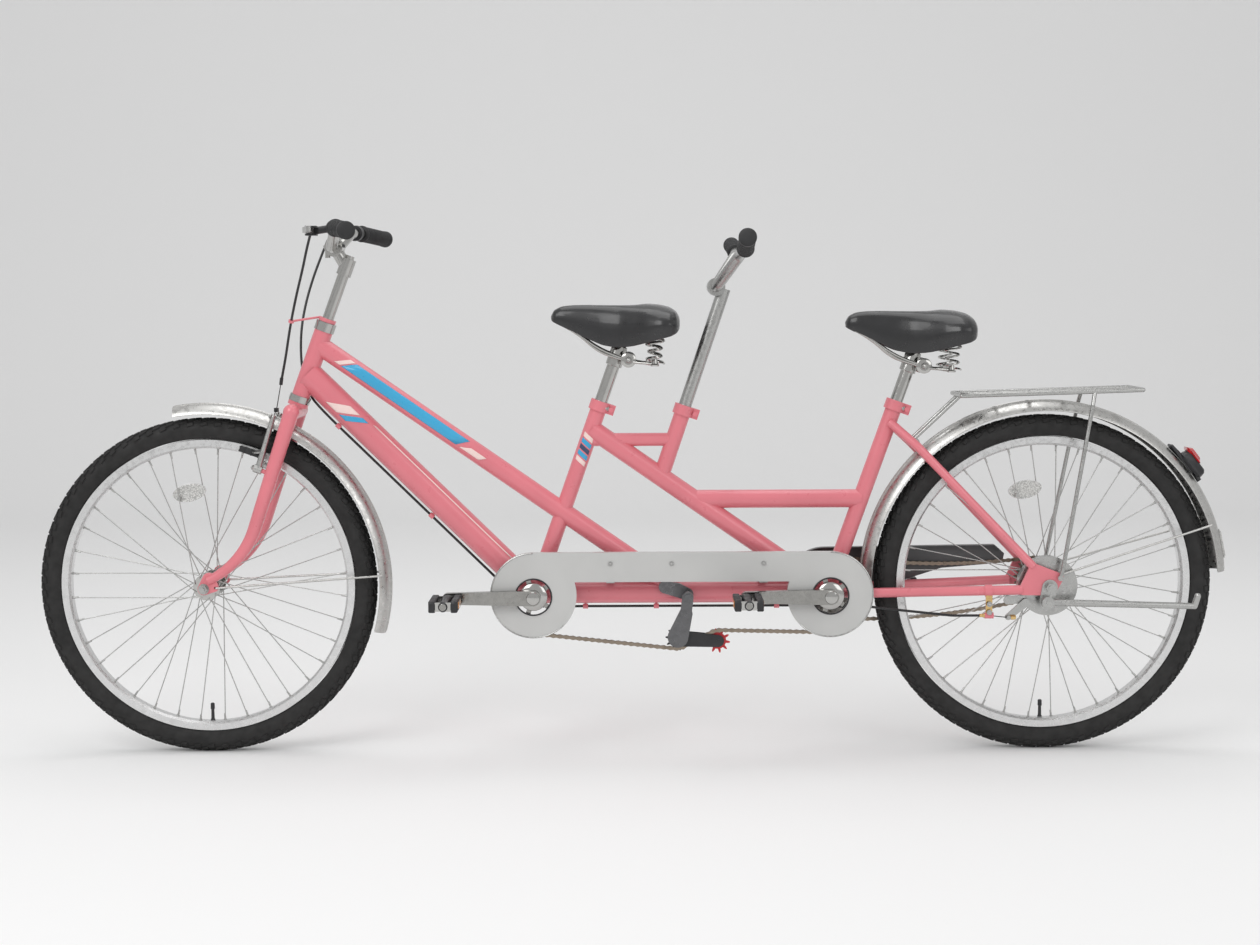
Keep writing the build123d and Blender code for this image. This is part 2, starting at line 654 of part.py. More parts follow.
with BuildPart() as front_crankset:
    crankset(front_bb)
    sprocket(front_bb, timing_teeth, timing_y, valley_angle(timing_loop, 0), spindle_radius + weld_gap, 5)
front_crankset.part.label = "front_crankset"
export_step(front_crankset.part, "parts/front_crankset.step")

with BuildPart() as rear_crankset:
    crankset(rear_bb)
    sprocket(rear_bb, timing_teeth, timing_y, valley_angle(timing_loop, 3), spindle_radius + weld_gap, 5)
    sprocket(rear_bb, drive_teeth, drive_y, valley_angle(drive_loop, 0), spindle_radius + weld_gap, 5)
rear_crankset.part.label = "rear_crankset"
export_step(rear_crankset.part, "parts/rear_crankset.step")

for seat, centre in (("front", front_bb), ("rear", rear_bb)):
    for side, ahead in crank_sides:
        eye = centre + Vector(ahead * crank_length, 0, 0)
        near, far = side * (pedal_start + side_gap), side * (pedal_start + pedal_width)
        low_y, high_y = min(near, far), max(near, far)
        with BuildPart() as pedal:
            washer(eye, low_y, high_y, 9, pedal_axle_radius + running_gap)
            for plate_y in (low_y, high_y - 4):
                box_between((eye.X - pedal_length / 2, plate_y, eye.Z - pedal_height / 2 + 1),
                            (eye.X + pedal_length / 2, plate_y + 4, eye.Z + pedal_height / 2 - 1))
            rod(eye + across * low_y, eye + across * high_y, pedal_axle_radius + running_gap, Mode.SUBTRACT)
            for block in (-1, 1):
                inner_x, outer_x = sorted((eye.X + block * 9.5, eye.X + block * pedal_length / 2))
                box_between((inner_x, low_y + 4 + weld_gap, eye.Z - pedal_height / 2),
                            (outer_x, high_y - 4 - weld_gap, eye.Z + pedal_height / 2))
        name = f"{seat}_{'left' if side < 0 else 'right'}_pedal"
        pedal.part.label = name
        export_step(pedal.part, f"parts/{name}.step")

# ---------------------------------------------------------------- wheels
def wheel_section(centre):
    """A sketch plane through the axle: its local x runs along the axle and its local y outwards."""
    return Plane(origin=centre, x_dir=(0, 1, 0), z_dir=(-1, 0, 0))


def make_tyre(centre):
    with BuildSketch(wheel_section(centre)) as section:
        with Locations((0, tyre_radius - tyre_section)):
            Circle(tyre_section)
            Circle(tyre_section - tyre_wall, mode=Mode.SUBTRACT)
        with Locations((0, rim_radius / 2)):
            Rectangle(3 * tyre_section, rim_radius, mode=Mode.SUBTRACT)
    revolve(section.sketch, Axis(centre, (0, 1, 0)))


def make_rim(centre):
    """A hollow rim with two brake faces, and the valve."""
    bed = rim_radius - 6
    with BuildSketch(wheel_section(centre)) as section:
        with BuildLine():
            Polyline(
                (-rim_half, rim_radius), (-rim_half, rim_radius - rim_depth + 4),
                (-rim_half + 5, rim_radius - rim_depth), (rim_half - 5, rim_radius - rim_depth),
                (rim_half, rim_radius - rim_depth + 4), (rim_half, rim_radius),
                (rim_half - 2 * rim_wall, rim_radius), (rim_half - 2 * rim_wall, bed),
                (2 * rim_wall - rim_half, bed), (2 * rim_wall - rim_half, rim_radius),
                close=True,
            )
        make_face()
        with Locations((0, rim_radius - rim_depth / 2 - 3)):
            Rectangle(2 * rim_half - 4 * rim_wall, rim_depth - 6 - 2 * rim_wall, mode=Mode.SUBTRACT)
    revolve(section.sketch, Axis(centre, (0, 1, 0)))


def spoke_lines(centre, flange_y):
    """Each spoke's two ends: crossed, with heads inside and outside the flanges in turn."""
    step = 2 * pi / spoke_count
    hub_r, rim_r = flange_radius - 4, rim_radius - rim_depth - 0.5
    lines = []
    for spoke in range(spoke_count):
        side = 1 if spoke % 2 else -1
        leading = 1 if (spoke // 2) % 2 else -1
        rim_angle = (spoke + 0.5) * step
        hub_angle = rim_angle + leading * spoke_cross * 2 * step
        head_y = side * (flange_y + leading * (flange_thickness / 2 + spoke_radius + 1.0))
        head = centre + Vector(hub_r * cos(hub_angle), head_y, hub_r * sin(hub_angle))
        foot = centre + Vector(rim_r * cos(rim_angle), side * 4, rim_r * sin(rim_angle))
        lines.append((head, foot))
    return lines


def make_spokes(centre, flange_y):
    """The spokes, and the reflector clipped to one of them."""
    lines = spoke_lines(centre, flange_y)
    angle = radians(reflector_angle)
    middle = centre + Vector(cos(angle), 0, sin(angle)) * reflector_radius
    plane = Plane(origin=middle + across * reflector_depth / 2,
                  x_dir=(sin(angle), 0, -cos(angle)), z_dir=(0, -1, 0))
    with BuildSketch(plane) as lens:
        Ellipse(reflector_length / 2, reflector_height / 2)
    extrude(lens.sketch, amount=reflector_depth)
    reach = (reflector_radius - flange_radius) / (rim_radius - rim_depth - flange_radius)
    head, foot = min(lines, key=lambda line: (line[0] + (line[1] - line[0]) * reach - middle).length)
    grip = head + (foot - head) * reach
    rod((grip.X, 0, grip.Z), grip + across * (2.5 if grip.Y > 0 else -2.5), 3.5)
    rod(head, foot, spoke_radius + weld_gap, Mode.SUBTRACT)
    for head, foot in lines:
        rod(head, foot, spoke_radius)


def make_hub(centre, flange_y, half_length, bore):
    for side in (-1, 1):
        low_y, high_y = sorted((side * (flange_y - flange_thickness / 2),
                                side * (flange_y + flange_thickness / 2)))
        washer(centre, low_y, high_y, flange_radius, bore + 2)
    washer(centre, -half_length, half_length, 15, bore)


for end, centre, flange_y in (("front", front_axle_at, front_flange_y), ("rear", rear_axle_at, rear_flange_y)):
    with BuildPart() as tyre:
        make_tyre(centre)
    tyre.part.label = f"{end}_tyre"
    export_step(tyre.part, f"parts/{end}_tyre.step")

    with BuildPart() as rim:
        make_rim(centre)
        valve_foot = centre - Vector(0, 0, rim_radius - rim_depth)
        rod(valve_foot, valve_foot + Vector(0, 0, 32), 2.8)
    rim.part.label = f"{end}_rim"
    export_step(rim.part, f"parts/{end}_rim.step")

    with BuildPart() as spokes:
        make_spokes(centre, flange_y)
    spokes.part.label = f"{end}_spokes"
    export_step(spokes.part, f"parts/{end}_spokes.step")

front_hub_half, rear_hub_half = 42.0, 48.0
drum_radius, drum_from, drum_to = 45.0, -54.0, -36.0
freewheel_boss, freewheel_from, freewheel_to = 17.0, 50.0, 66.0
with BuildPart() as front_hub:
    make_hub(front_axle_at, front_flange_y, front_hub_half, front_axle_radius + running_gap)
front_hub.part.label = "front_hub"
export_step(front_hub.part, "parts/front_hub.step")

rear_bore = rear_axle_radius + running_gap
with BuildPart() as rear_hub:
    make_hub(rear_axle_at, rear_flange_y, rear_hub_half, rear_bore)
    washer(rear_axle_at, drum_from, drum_to, drum_radius, rear_bore + 5)
    washer(rear_axle_at, rear_hub_half - 2, freewheel_to, freewheel_boss, rear_bore + 4)
    washer(rear_axle_at, drum_from, -rear_hub_half + 2, 13, rear_bore + 4)
rear_hub.part.label = "rear_hub"
export_step(rear_hub.part, "parts/rear_hub.step")

with BuildPart() as freewheel:
    sprocket(rear_axle_at, freewheel_teeth, drive_y, valley_angle(drive_loop, 1), freewheel_boss + 3)
    washer(rear_axle_at, freewheel_from, freewheel_to, 30, freewheel_boss + running_gap)
freewheel.part.label = "freewheel"
export_step(freewheel.part, "parts/freewheel.step")


stand_plate = 3.0           # the kickstand's plate, under the rear axle's left washer


def make_axle(centre, radius, dropout_y, half_length, cone_from, left_plate=0.0):
    """Axle with its cones, washers and nuts; a plate may lie under the left washer."""
    rod(centre - across * half_length, centre + across * half_length, radius)
    for side in (-1, 1):
        low_y, high_y = sorted((side * (cone_from + side_gap), side * (dropout_y - weld_gap)))
        washer(centre, low_y, high_y, radius + 3.5, radius)
        outer = dropout_y + dropout_thickness + weld_gap + (left_plate if side < 0 else 0)
        low_y, high_y = sorted((side * outer, side * (outer + 2)))
        washer(centre, low_y, high_y, radius + 6, radius)
        with BuildSketch(side_plane(side * (outer + 2) if side < 0 else outer + 11)) as nut:
            with Locations((centre.X, centre.Z)):
                RegularPolygon(radius + 4.5, 6)
        extrude(nut.sketch, amount=9)


with BuildPart() as front_axle:
    make_axle(front_axle_at, front_axle_radius, front_dropout_y, 72, front_hub_half)
front_axle.part.label = "front_axle"
export_step(front_axle.part, "parts/front_axle.step")

with BuildPart() as rear_axle:
    make_axle(rear_axle_at, rear_axle_radius, rear_dropout_y, 92, freewheel_to, stand_plate + weld_gap)
rear_axle.part.label = "rear_axle"
export_step(rear_axle.part, "parts/rear_axle.step")

cover_radius, cover_face, cover_wall = 58.0, -57.8, 1.5
with BuildPart() as rear_brake_housing:
    washer(rear_axle_at, cover_face, cover_face + cover_wall, cover_radius, rear_axle_radius + weld_gap)
    washer(rear_axle_at, cover_face, -39, cover_radius, cover_radius - cover_wall)
    washer(rear_axle_at, -freewheel_to - side_gap + 0.38, cover_face, 8.5, rear_axle_radius + weld_gap)
    with BuildSketch(side_plane(cover_face + cover_wall)) as stay_arm:
        with Locations((rear_axle_x - cover_radius + 8, axle_z - 26), (rear_axle_x - 78, axle_z - 28)):
            Circle(8)
        make_hull()
    extrude(stay_arm.sketch, amount=3.5)
    washer(rear_axle_at, -52, -41, 49.5, drum_radius + 1)
    anchor = rear_axle_at + Vector(-49, 0, -8)
    rod(anchor + across * (cover_face + 1), anchor - across * 41, 3)
    clip = rear_axle_at + Vector(-78, -63, -28)
    rod(clip + across * 6, clip + across * 4.4, 3)
rear_brake_housing.part.label = "rear_brake_housing"
export_step(rear_brake_housing.part, "parts/rear_brake_housing.step")

# Lever that pulls the brake band
brake_arm_pivot = rear_axle_at + Vector(-44, 0, -32)
brake_arm_tip = rear_axle_at + Vector(-78, 0, -60)
with BuildPart() as rear_brake_arm:
    with BuildSketch(side_plane(-62.2)) as arm:
        with Locations((brake_arm_pivot.X, brake_arm_pivot.Z)):
            Circle(8)
        with Locations((brake_arm_tip.X, brake_arm_tip.Z)):
            Circle(6)
        make_hull()
    extrude(arm.sketch, amount=4)
    rod(brake_arm_tip - across * 66.2, brake_arm_tip - across * 74, 4)
    wire_slot = brake_arm_tip - across * 70
    box_between(wire_slot - Vector(6, 1.5, 8), wire_slot + Vector(6, 1.5, 1.6), Mode.SUBTRACT)
rear_brake_arm.part.label = "rear_brake_arm"
export_step(rear_brake_arm.part, "parts/rear_brake_arm.step")


def fender_shell(centre, arc):
    """A rolled mudguard: a crowned strip swept round the wheel."""
    first = radians(arc[0])
    outward = Vector(cos(first), 0, sin(first))
    plane = Plane(origin=centre, x_dir=(0, 1, 0), z_dir=across.cross(outward))
    lip = fender_radius - fender_drop
    with BuildSketch(plane) as section:
        with BuildLine():
            outer = ThreePointArc((-fender_half, lip), (0, fender_radius), (fender_half, lip))
            inner = ThreePointArc((fender_half - fender_wall, lip), (0, fender_radius - fender_wall),
                                  (fender_wall - fender_half, lip))
            Line(outer @ 1, inner @ 0)
            Line(inner @ 1, outer @ 0)
        make_face()
    revolve(section.sketch, Axis(centre, (0, -1, 0)), revolution_arc=arc[1] - arc[0])


def round_wheel(centre, radius, angle, y=0.0):
    """A point beside a wheel, by its radius and its angle from straight back."""
    return centre + Vector(radius * cos(radians(angle)), y, radius * sin(radians(angle)))


stay_radius = 2.2
lip_radius = fender_radius - fender_drop
with BuildPart() as front_fender:
    fender_shell(front_axle_at, front_fender_arc)
    for side in (-1, 1):
        foot = front_axle_at + Vector(24, side * (front_dropout_y + dropout_thickness + stay_radius + 0.6), 2)
        lip_point = round_wheel(front_axle_at, lip_radius + 5, 3.5, side * (fender_half + stay_radius - 1.2))
        rod(foot, lip_point, stay_radius)
    hook = steer(652)
    box_between((hook.X - 14, -9, front_axle_at.Z + 318), (hook.X + 2, 9, front_axle_at.Z + 322))
front_fender.part.label = "front_fender"
export_step(front_fender.part, "parts/front_fender.step")

with BuildPart() as rear_fender:
    fender_shell(rear_axle_at, rear_fender_arc)
    for side in (-1, 1):
        foot = rear_axle_at + Vector(24, side * (rear_dropout_y - stay_radius - 0.6), 23)
        lip_point = round_wheel(rear_axle_at, lip_radius + 5, 19.4, side * (fender_half + stay_radius - 1.2))
        rod(foot, lip_point, stay_radius)
rear_fender.part.label = "rear_fender"
export_step(rear_fender.part, "parts/rear_fender.step")

# ---------------------------------------------------------------- steering
blade_knee_z = 455.0
blade_knee_back = 8.0
pivot_height, brake_pivot_y, brake_pivot_radius = 556.5, 46.0, 4.5
nut_low, nut_high = head_high + upper_cup_height + 0.4, head_high + upper_cup_height + 7
hanger_at, hanger_along = Vector(-662.5, -15, 851.5), Vector(-11, 14, -43)
with BuildPart() as fork:
    pipe(steer(crown_height), steer(head_high + upper_cup_height + 3), steerer_radius,
         steerer_radius - quill_radius - running_gap)
    rod(steer(crown_height + 10), steer(head_low - lower_cup_height - 0.3), 20)
    rod(steer(crown_height, side=-blade_y), steer(crown_height, side=blade_y), crown_radius)
    rod(steer(nut_low), steer(nut_high), 17)
    rod(steer(crown_height + 4), steer(head_high + upper_cup_height + 20), quill_radius + running_gap,
        Mode.SUBTRACT)
    rod(steer(nut_high - 1.5, 15), hanger_at, 2.2)
    rod(hanger_at - hanger_along.normalized() * 2.5, hanger_at + hanger_along.normalized() * 2.5, 5.5)
    rod(hanger_at - hanger_along, hanger_at + hanger_along, 2.8, Mode.SUBTRACT)
    for side in (-1, 1):
        shoulder = steer(crown_height, side=side * blade_y)
        knee = steer(blade_knee_z, -blade_knee_back, side * (blade_y + 1))
        tip = front_axle_at + Vector(8, side * (front_dropout_y + 4), 16)
        ball(shoulder, crown_radius)
        taper(shoulder, knee, blade_top_radius + 1, blade_top_radius - 1)
        heading = (knee - shoulder).normalized()
        with BuildLine() as bend:
            TangentArc(knee, tip, tangent=heading)
        first, last = Plane(origin=knee, z_dir=bend.line % 0), Plane(origin=tip, z_dir=bend.line % 1)
        with BuildSketch(first) as top_section:
            Circle(blade_top_radius - 1)
        with BuildSketch(last) as tip_section:
            Circle(blade_tip_radius)
        sweep([top_section.sketch, tip_section.sketch], path=bend.line, multisection=True)
        face = side * front_dropout_y if side < 0 else front_dropout_y + dropout_thickness
        with BuildSketch(side_plane(face)) as tip_plate:
            with Locations((front_axle_x, axle_z), (tip.X + 2, tip.Z + 4)):
                Circle(12)
            with Locations((front_axle_x + 22, axle_z + 2)):
                Circle(7)
            make_hull()
            with Locations((front_axle_x, axle_z)):
                Circle(front_axle_radius + weld_gap, mode=Mode.SUBTRACT)
            with Locations((front_axle_x + 22, axle_z + 2)):
                Circle(eyelet_radius, mode=Mode.SUBTRACT)
        extrude(tip_plate.sketch, amount=dropout_thickness)
        rod(steer(pivot_height, 2, side * brake_pivot_y), steer(pivot_height, 34, side * brake_pivot_y),
            brake_pivot_radius)
fork.part.label = "fork"
export_step(fork.part, "parts/fork.step")

forward = Vector(-cos(lean), 0, sin(lean))
stem_clamp = steer(982, 33.3)
quill_top = steer(968)
clamp_half = 20.0
with BuildPart() as stem:
    rod(steer(head_high - 40), quill_top, quill_radius)
    rod(steer(940), steer(972), 14.5)
    rod(steer(958, 2), stem_clamp, 12)
    rod(stem_clamp - across * clamp_half, stem_clamp + across * clamp_half, 17.5)
    rod(steer(966), steer(978), 9)
    pinch = stem_clamp + forward * 15 - Vector(0, 0, 17)
    rod(pinch - Vector(0, 0, 8), pinch + Vector(0, 0, 10), 5)
    rod(stem_clamp - across * (clamp_half + 1), stem_clamp + across * (clamp_half + 1),
        bar_clamp_radius + weld_gap, Mode.SUBTRACT)
stem.part.label = "stem"
export_step(stem.part, "parts/stem.step")


def bar_points(clamp, low_y, rise, outer, end):
    """The points of a riser bar, from its left end to its right end."""
    half = [(0, low_y, 0), rise, outer, end]
    right = [clamp + Vector(x, y, z) for x, y, z in half]
    left = [clamp + Vector(x, -y, z) for x, y, z in reversed(half)]
    return left + right


def grip_pair(points, start, radius):
    """Rubber grips over the two ends of a bar."""
    for inner, end in ((points[1], points[0]), (points[-2], points[-1])):
        along = (end - inner).normalized()
        begin = end - along * start
        rod(begin, end + along * 3, radius)
        rod(begin - along, end + along * weld_gap, bar_radius + weld_gap, Mode.SUBTRACT)


captain_bar = bar_points(stem_clamp, 42, (16.5, 105, 30.4), (23, 158, 33.5), (63.5, bar_half, 24))
bar_bends = [60, 30, 30, 30, 30, 60]
with BuildPart() as handlebar:
    bent_bar(captain_bar, bar_bends, bar_radius)
    rod(stem_clamp - across * 32, stem_clamp + across * 32, bar_clamp_radius)
handlebar.part.label = "handlebar"
export_step(handlebar.part, "parts/handlebar.step")

with BuildPart() as handlebar_grips:
    grip_pair(captain_bar, grip_length, grip_radius)
handlebar_grips.part.label = "handlebar_grips"
export_step(handlebar_grips.part, "parts/handlebar_grips.step")

# Brake levers: a bracket on the bar, and a lever that swings on an upright pin
lever_pin_radius, lever_pin_x, lever_pin_y = 3.0, 602.0, 150.0
lever_z = stem_clamp.Z + 28
lever_thickness = 10.0
with BuildPart() as lever_brackets:
    for side in (-1, 1):
        inner = captain_bar[5] if side > 0 else captain_bar[2]
        outer = captain_bar[6] if side > 0 else captain_bar[1]
        along = (outer - inner).normalized()
        middle = inner + along * 38
        pin = Vector(-lever_pin_x, side * lever_pin_y, lever_z)
        rod(middle - along * 8, middle + along * 8, 15.5)
        rod(middle - Vector(6, 0, 0), pin + Vector(12, 0, 0), 7)
        block_low, block_high = sorted((pin.Y - side * 11, pin.Y + side * 8))
        box_between((pin.X - 7, block_low, pin.Z - 9), (pin.X + 14, block_high, pin.Z + 9))
        barrel = pin - across * side * 10 - Vector(2, 0, 0)
        rod(barrel, barrel - across * side * 12, 4.5)
        slot_low, slot_high = sorted((pin.Y - side * 7.2, pin.Y + side * 26))
        slot_half = lever_thickness / 2 + side_gap
        box_between((pin.X - 9, slot_low, pin.Z - slot_half), (pin.X + 8, slot_high, pin.Z + slot_half),
                    Mode.SUBTRACT)
        sweep_low, sweep_high = sorted((pin.Y - side * 1.5, pin.Y + side * 26))
        box_between((pin.X, sweep_low, pin.Z - slot_half), (pin.X + 18, sweep_high, pin.Z + slot_half),
                    Mode.SUBTRACT)
        rod(pin - Vector(0, 0, 9), pin + Vector(0, 0, 9), lever_pin_radius)
        rod(middle - along * 20, middle + along * 20, bar_radius + weld_gap, Mode.SUBTRACT)
lever_brackets.part.label = "lever_brackets"
export_step(lever_brackets.part, "parts/lever_brackets.step")

lever_shape = ((0.0, 0.0), (4.0, 14.0), (-2.0, 36.0), (18.0, 112.0))
for side, name in ((-1, "brake_lever_left"), (1, "brake_lever_right")):
    pin = Vector(-lever_pin_x, side * lever_pin_y, lever_z)
    with BuildPart() as brake_lever:
        with BuildSketch(Plane(origin=pin + Vector(0, 0, lever_thickness / 2), z_dir=(0, 0, -1),
                               x_dir=(1, 0, 0))) as blade:
            for start, stop in zip(lever_shape, lever_shape[1:]):
                with BuildSketch(mode=Mode.PRIVATE) as piece:
                    for x, y in (start, stop):
                        with Locations((x, -side * y)):
                            Circle(6.5 if y < 20 else 5.0)
                    make_hull()
                add(piece.sketch)
            Circle(lever_pin_radius + running_gap, mode=Mode.SUBTRACT)
        extrude(blade.sketch, amount=lever_thickness)
    brake_lever.part.label = name
    export_step(brake_lever.part, f"parts/{name}.step")

# Rim brake arms on the fork: each turns on a boss that points forward
pad_angle, pad_radius, pad_track, pad_gap = 70.6, 5.0, 280.0, 1.2
for side, name in ((-1, "front_brake_arm_left"), (1, "front_brake_arm_right")):
    with BuildPart() as brake_arm:
        pad = round_wheel(front_axle_at, pad_track, pad_angle, side * (rim_half + pad_gap + pad_radius))
        tangent = Vector(-sin(radians(pad_angle)), 0, cos(radians(pad_angle)))
        rod(steer(pivot_height, 17, side * brake_pivot_y), steer(pivot_height, 32, side * brake_pivot_y), 8)
        low_arm = steer(pivot_height, 24.5, side * brake_pivot_y)
        top_arm = steer(655, 31.7, side * 38)
        taper(low_arm, top_arm, 6.5, 5)
        ball(top_arm, 5)
        post_root = low_arm + (top_arm - low_arm) * 0.34
        rod(pad, Vector(post_root.X, post_root.Y, post_root.Z), 3.2)
        rod(pad - tangent * 26, pad + tangent * 26, pad_radius)
        rod(steer(pivot_height, 10, side * brake_pivot_y), steer(pivot_height, 40, side * brake_pivot_y),
            brake_pivot_radius + running_gap, Mode.SUBTRACT)
    brake_arm.part.label = name
    export_step(brake_arm.part, f"parts/{name}.step")


def cable(points, radius, room=1000.0):
    """A held cable: straight runs joined by the largest arcs that the runs and the clips allow."""
    radii = []
    for before, here, after in zip(points, points[1:], points[2:]):
        turn = (here - before).get_angle(after - here)
        shorter = min((here - before).length, (after - here).length)
        radii.append(min(room, 0.45 * shorter / tan(radians(turn) / 2)))
    print("cable arcs", [round(value, 1) for value in radii])
    bent_bar(points, radii, radius)


cable_radius, wire_radius = 2.5, 0.9
front_cable_route = [
    Vector(-604, -126.9, lever_z), Vector(-606, -112, lever_z - 4), Vector(-617, -93, 989),
    Vector(-630, -68, 950), Vector(-644, -43, 913), Vector(-657, -22, 873), Vector(-668, -8, 830),
    Vector(-677, -1, 782), Vector(-687, 0, 734),
]
straddle_at = steer(655, 31.7) + Vector(0, 0, 12)
straddle_slack = 9.0        # from the middle of an arm's top, clear of it through its travel
with BuildPart() as front_brake_cable:
    cable(front_cable_route, cable_radius)
    rod(front_cable_route[-1] + Vector(1, 0, 7), front_cable_route[-1] - Vector(1, 0, 7), 3.5)
    rod(front_cable_route[-1], straddle_at, wire_radius)
    box_between(straddle_at - Vector(4, 6, 4), straddle_at + Vector(4, 6, 4))
    for side in (-1, 1):
        arm_top = steer(655, 31.7, side * 38)
        rod(straddle_at, arm_top + (straddle_at - arm_top).normalized() * straddle_slack, wire_radius)
front_brake_cable.part.label = "front_brake_cable"
export_step(front_brake_cable.part, "parts/front_brake_cable.step")

# The rear brake's cable crosses to the frame at a stop under the down tube
down_line = (front_bb - down_tube_head).normalized()
below_tube = Vector(down_line.Z, 0, -down_line.X)
cable_drop = down_tube_radius + 6.5
cable_stop = down_tube_head + down_line * 107 + below_tube * cable_drop
span_route = [
    Vector(-604, 126.9, lever_z), Vector(-606, 113, lever_z - 4), Vector(-618, 99, 984),
    Vector(-634, 85, 938), Vector(-647, 72, 890), Vector(-655, 59, 842), Vector(-656, 47, 794),
    Vector(-651, 36, 748), Vector(-636, 21, 706), cable_stop - down_line * 40 + Vector(0, 3, 0),
    cable_stop - down_line * 0.5,
]
with BuildPart() as rear_brake_cable_span:
    cable(span_route, cable_radius)
rear_brake_cable_span.part.label = "rear_brake_cable_span"
export_step(rear_brake_cable_span.part, "parts/rear_brake_cable_span.step")

# Under the down tube, under the boom, then beside the rear wheel to the stop on the left stay
boom_cable_z = 286.5
line_foot = front_bb + below_tube * cable_drop
under_turn = line_foot + down_line * ((line_foot.Z - boom_cable_z) / -down_line.Z)
stay_stop_x = rear_axle_x - 116.5
rear_stop = Vector(stay_stop_x, -69, 276)
rear_cable_route = [
    cable_stop, under_turn, Vector(rear_bb_x - 30, 0, boom_cable_z), Vector(rear_bb_x + 25, -22, 287),
    Vector(rear_bb_x + 66, -46, 292), Vector(rear_bb_x + 120, -57, 287), rear_stop - Vector(70, 0, 0),
    rear_stop,
]
with BuildPart() as rear_brake_cable:
    cable(rear_cable_route, cable_radius, 70)
    rod(rear_stop, brake_arm_tip - across * 70 - Vector(1, 0, 0), wire_radius)
rear_brake_cable.part.label = "rear_brake_cable"
export_step(rear_brake_cable.part, "parts/rear_brake_cable.step")


def cable_clip(at, along, root):
    """A ring round the cable with a stem up to the tube."""
    rod(at - along * 5, at + along * 5, 5)
    rod(at + (root - at).normalized() * 3, root, 2.5)


# The collars and the cable's clips and stops, each a solid of its own
with BuildPart() as clamps_and_cable_stops:
    for axis_top, up in (
        (front_seat(front_collar_top), (front_seat(front_collar_top) - front_bb).normalized()),
        (rear_seat(rear_collar_top), (rear_seat(rear_collar_top) - rear_bb).normalized()),
        (stoker_top, stoker_up),
    ):
        seat_collar(axis_top, up)
    cable_run = (under_turn - cable_stop).length
    for place in (5.5, 0.5 * cable_run, cable_run - 60):
        at = cable_stop + down_line * place
        cable_clip(at, down_line, at - below_tube * (cable_drop - down_tube_radius - weld_gap))
    for x in (front_bb_x + 100, front_bb_x + 240, rear_bb_x - 100):
        cable_clip(Vector(x, 0, boom_cable_z), Vector(1, 0, 0),
                   Vector(x, 0, bb_height - boom_radius - weld_gap))
    rod(cable_stop, under_turn - down_line * 20, cable_radius + weld_gap, Mode.SUBTRACT)
    rod((front_bb_x + 60, 0, boom_cable_z), (rear_bb_x - 70, 0, boom_cable_z), cable_radius + weld_gap,
        Mode.SUBTRACT)
    rod(stay_point(stay_stop_x - 7, -1), stay_point(stay_stop_x + 7, -1), chain_stay_radius + 2.5)
    rod(rear_stop - Vector(8, 0, 0), rear_stop + Vector(9, 0, 0), 6)
    box_between((stay_stop_x - 6, rear_stop.Y - 2, rear_stop.Z),
                (stay_stop_x + 6, rear_stop.Y + 2, axle_z - 16))
    rod(stay_point(stay_stop_x - 20, -1), stay_point(stay_stop_x + 20, -1), chain_stay_radius + weld_gap,
        Mode.SUBTRACT)
    rod(rear_stop - Vector(9, 0, 0), rear_stop + Vector(weld_gap, 0, 0), cable_radius + weld_gap, Mode.SUBTRACT)
    rod(rear_stop, rear_stop + Vector(12, 0, 0), wire_radius + 1, Mode.SUBTRACT)
clamps_and_cable_stops.part.label = "clamps_and_cable_stops"
export_step(clamps_and_cable_stops.part, "parts/clamps_and_cable_stops.step")

# ---------------------------------------------------------------- saddles and their posts
saddle_plan = (((-108.0, 0.0, 21.0), (0.0, 0.0, 36.0)), ((0.0, 0.0, 36.0), (75.0, 56.0, 41.0)),
               ((75.0, 0.0, 41.0), (75.0, 56.0, 41.0)))
saddle_side = ((-131, 62), (-122, 78), (-96, 91), (50, 92), (98, 85), (118, 64), (114, 32), (60, 16), (0, 4),
               (-50, 24))
saddle_clamp, clamp_disc = Vector(19, 0, -18), 15.0
spring_x, spring_y, spring_radius = 70.0, 40.0, 16.0
for seat, post_foot, post_top in (
    ("front", front_seat(front_collar_top - 105), front_seat(792)),
    ("rear", rear_seat(rear_collar_top - 105), rear_seat(778)),
):
    with BuildPart() as seatpost:
        rod(post_foot, post_top, post_radius)
    seatpost.part.label = f"{seat}_seatpost"
    export_step(seatpost.part, f"parts/{seat}_seatpost.step")

    with BuildPart() as saddle:
        with BuildSketch(Plane.XY.offset(post_top.Z - 1)) as planform:
            for side in (-1, 1):
                for lobe in saddle_plan:
                    with BuildSketch(mode=Mode.PRIVATE) as outline:
                        for x, y, radius in lobe:
                            with Locations((post_top.X + x, side * y)):
                                Circle(radius)
                        make_hull()
                    add(outline.sketch)
        extrude(planform.sketch, amount=100)
        with BuildSketch(side_plane(150)) as profile:
            with BuildLine() as side_line:
                Polyline(*[(post_top.X + x, post_top.Z + z) for x, z in saddle_side], close=True)
            make_face(side_line.edges())
        extrude(profile.sketch, amount=300, mode=Mode.INTERSECT)
        clamp = post_top + saddle_clamp
        for side in (-1, 1):
            spring_foot = post_top + Vector(spring_x, side * spring_y, saddle_clamp.Z - 9)
            rod(spring_foot, spring_foot + Vector(0, 0, 48), spring_radius)
            rod(clamp + across * side * 22, spring_foot + Vector(0, 0, 3.5), 3.5)
            rod(clamp + across * side * 15, clamp + across * side * 29, clamp_disc)
        rod(clamp - across * 33, clamp + across * 33, 5)
        rod(clamp - across * 16, clamp + across * 16, 9)
        lean_up = (post_top - post_foot).normalized()
        rod(post_top - lean_up * 32, post_top + lean_up * 12, post_radius + 3.5)
        rod(post_foot, post_top + lean_up * weld_gap, post_radius + weld_gap, Mode.SUBTRACT)
    saddle.part.label = f"{seat}_saddle"
    export_step(saddle.part, f"parts/{seat}_saddle.step")

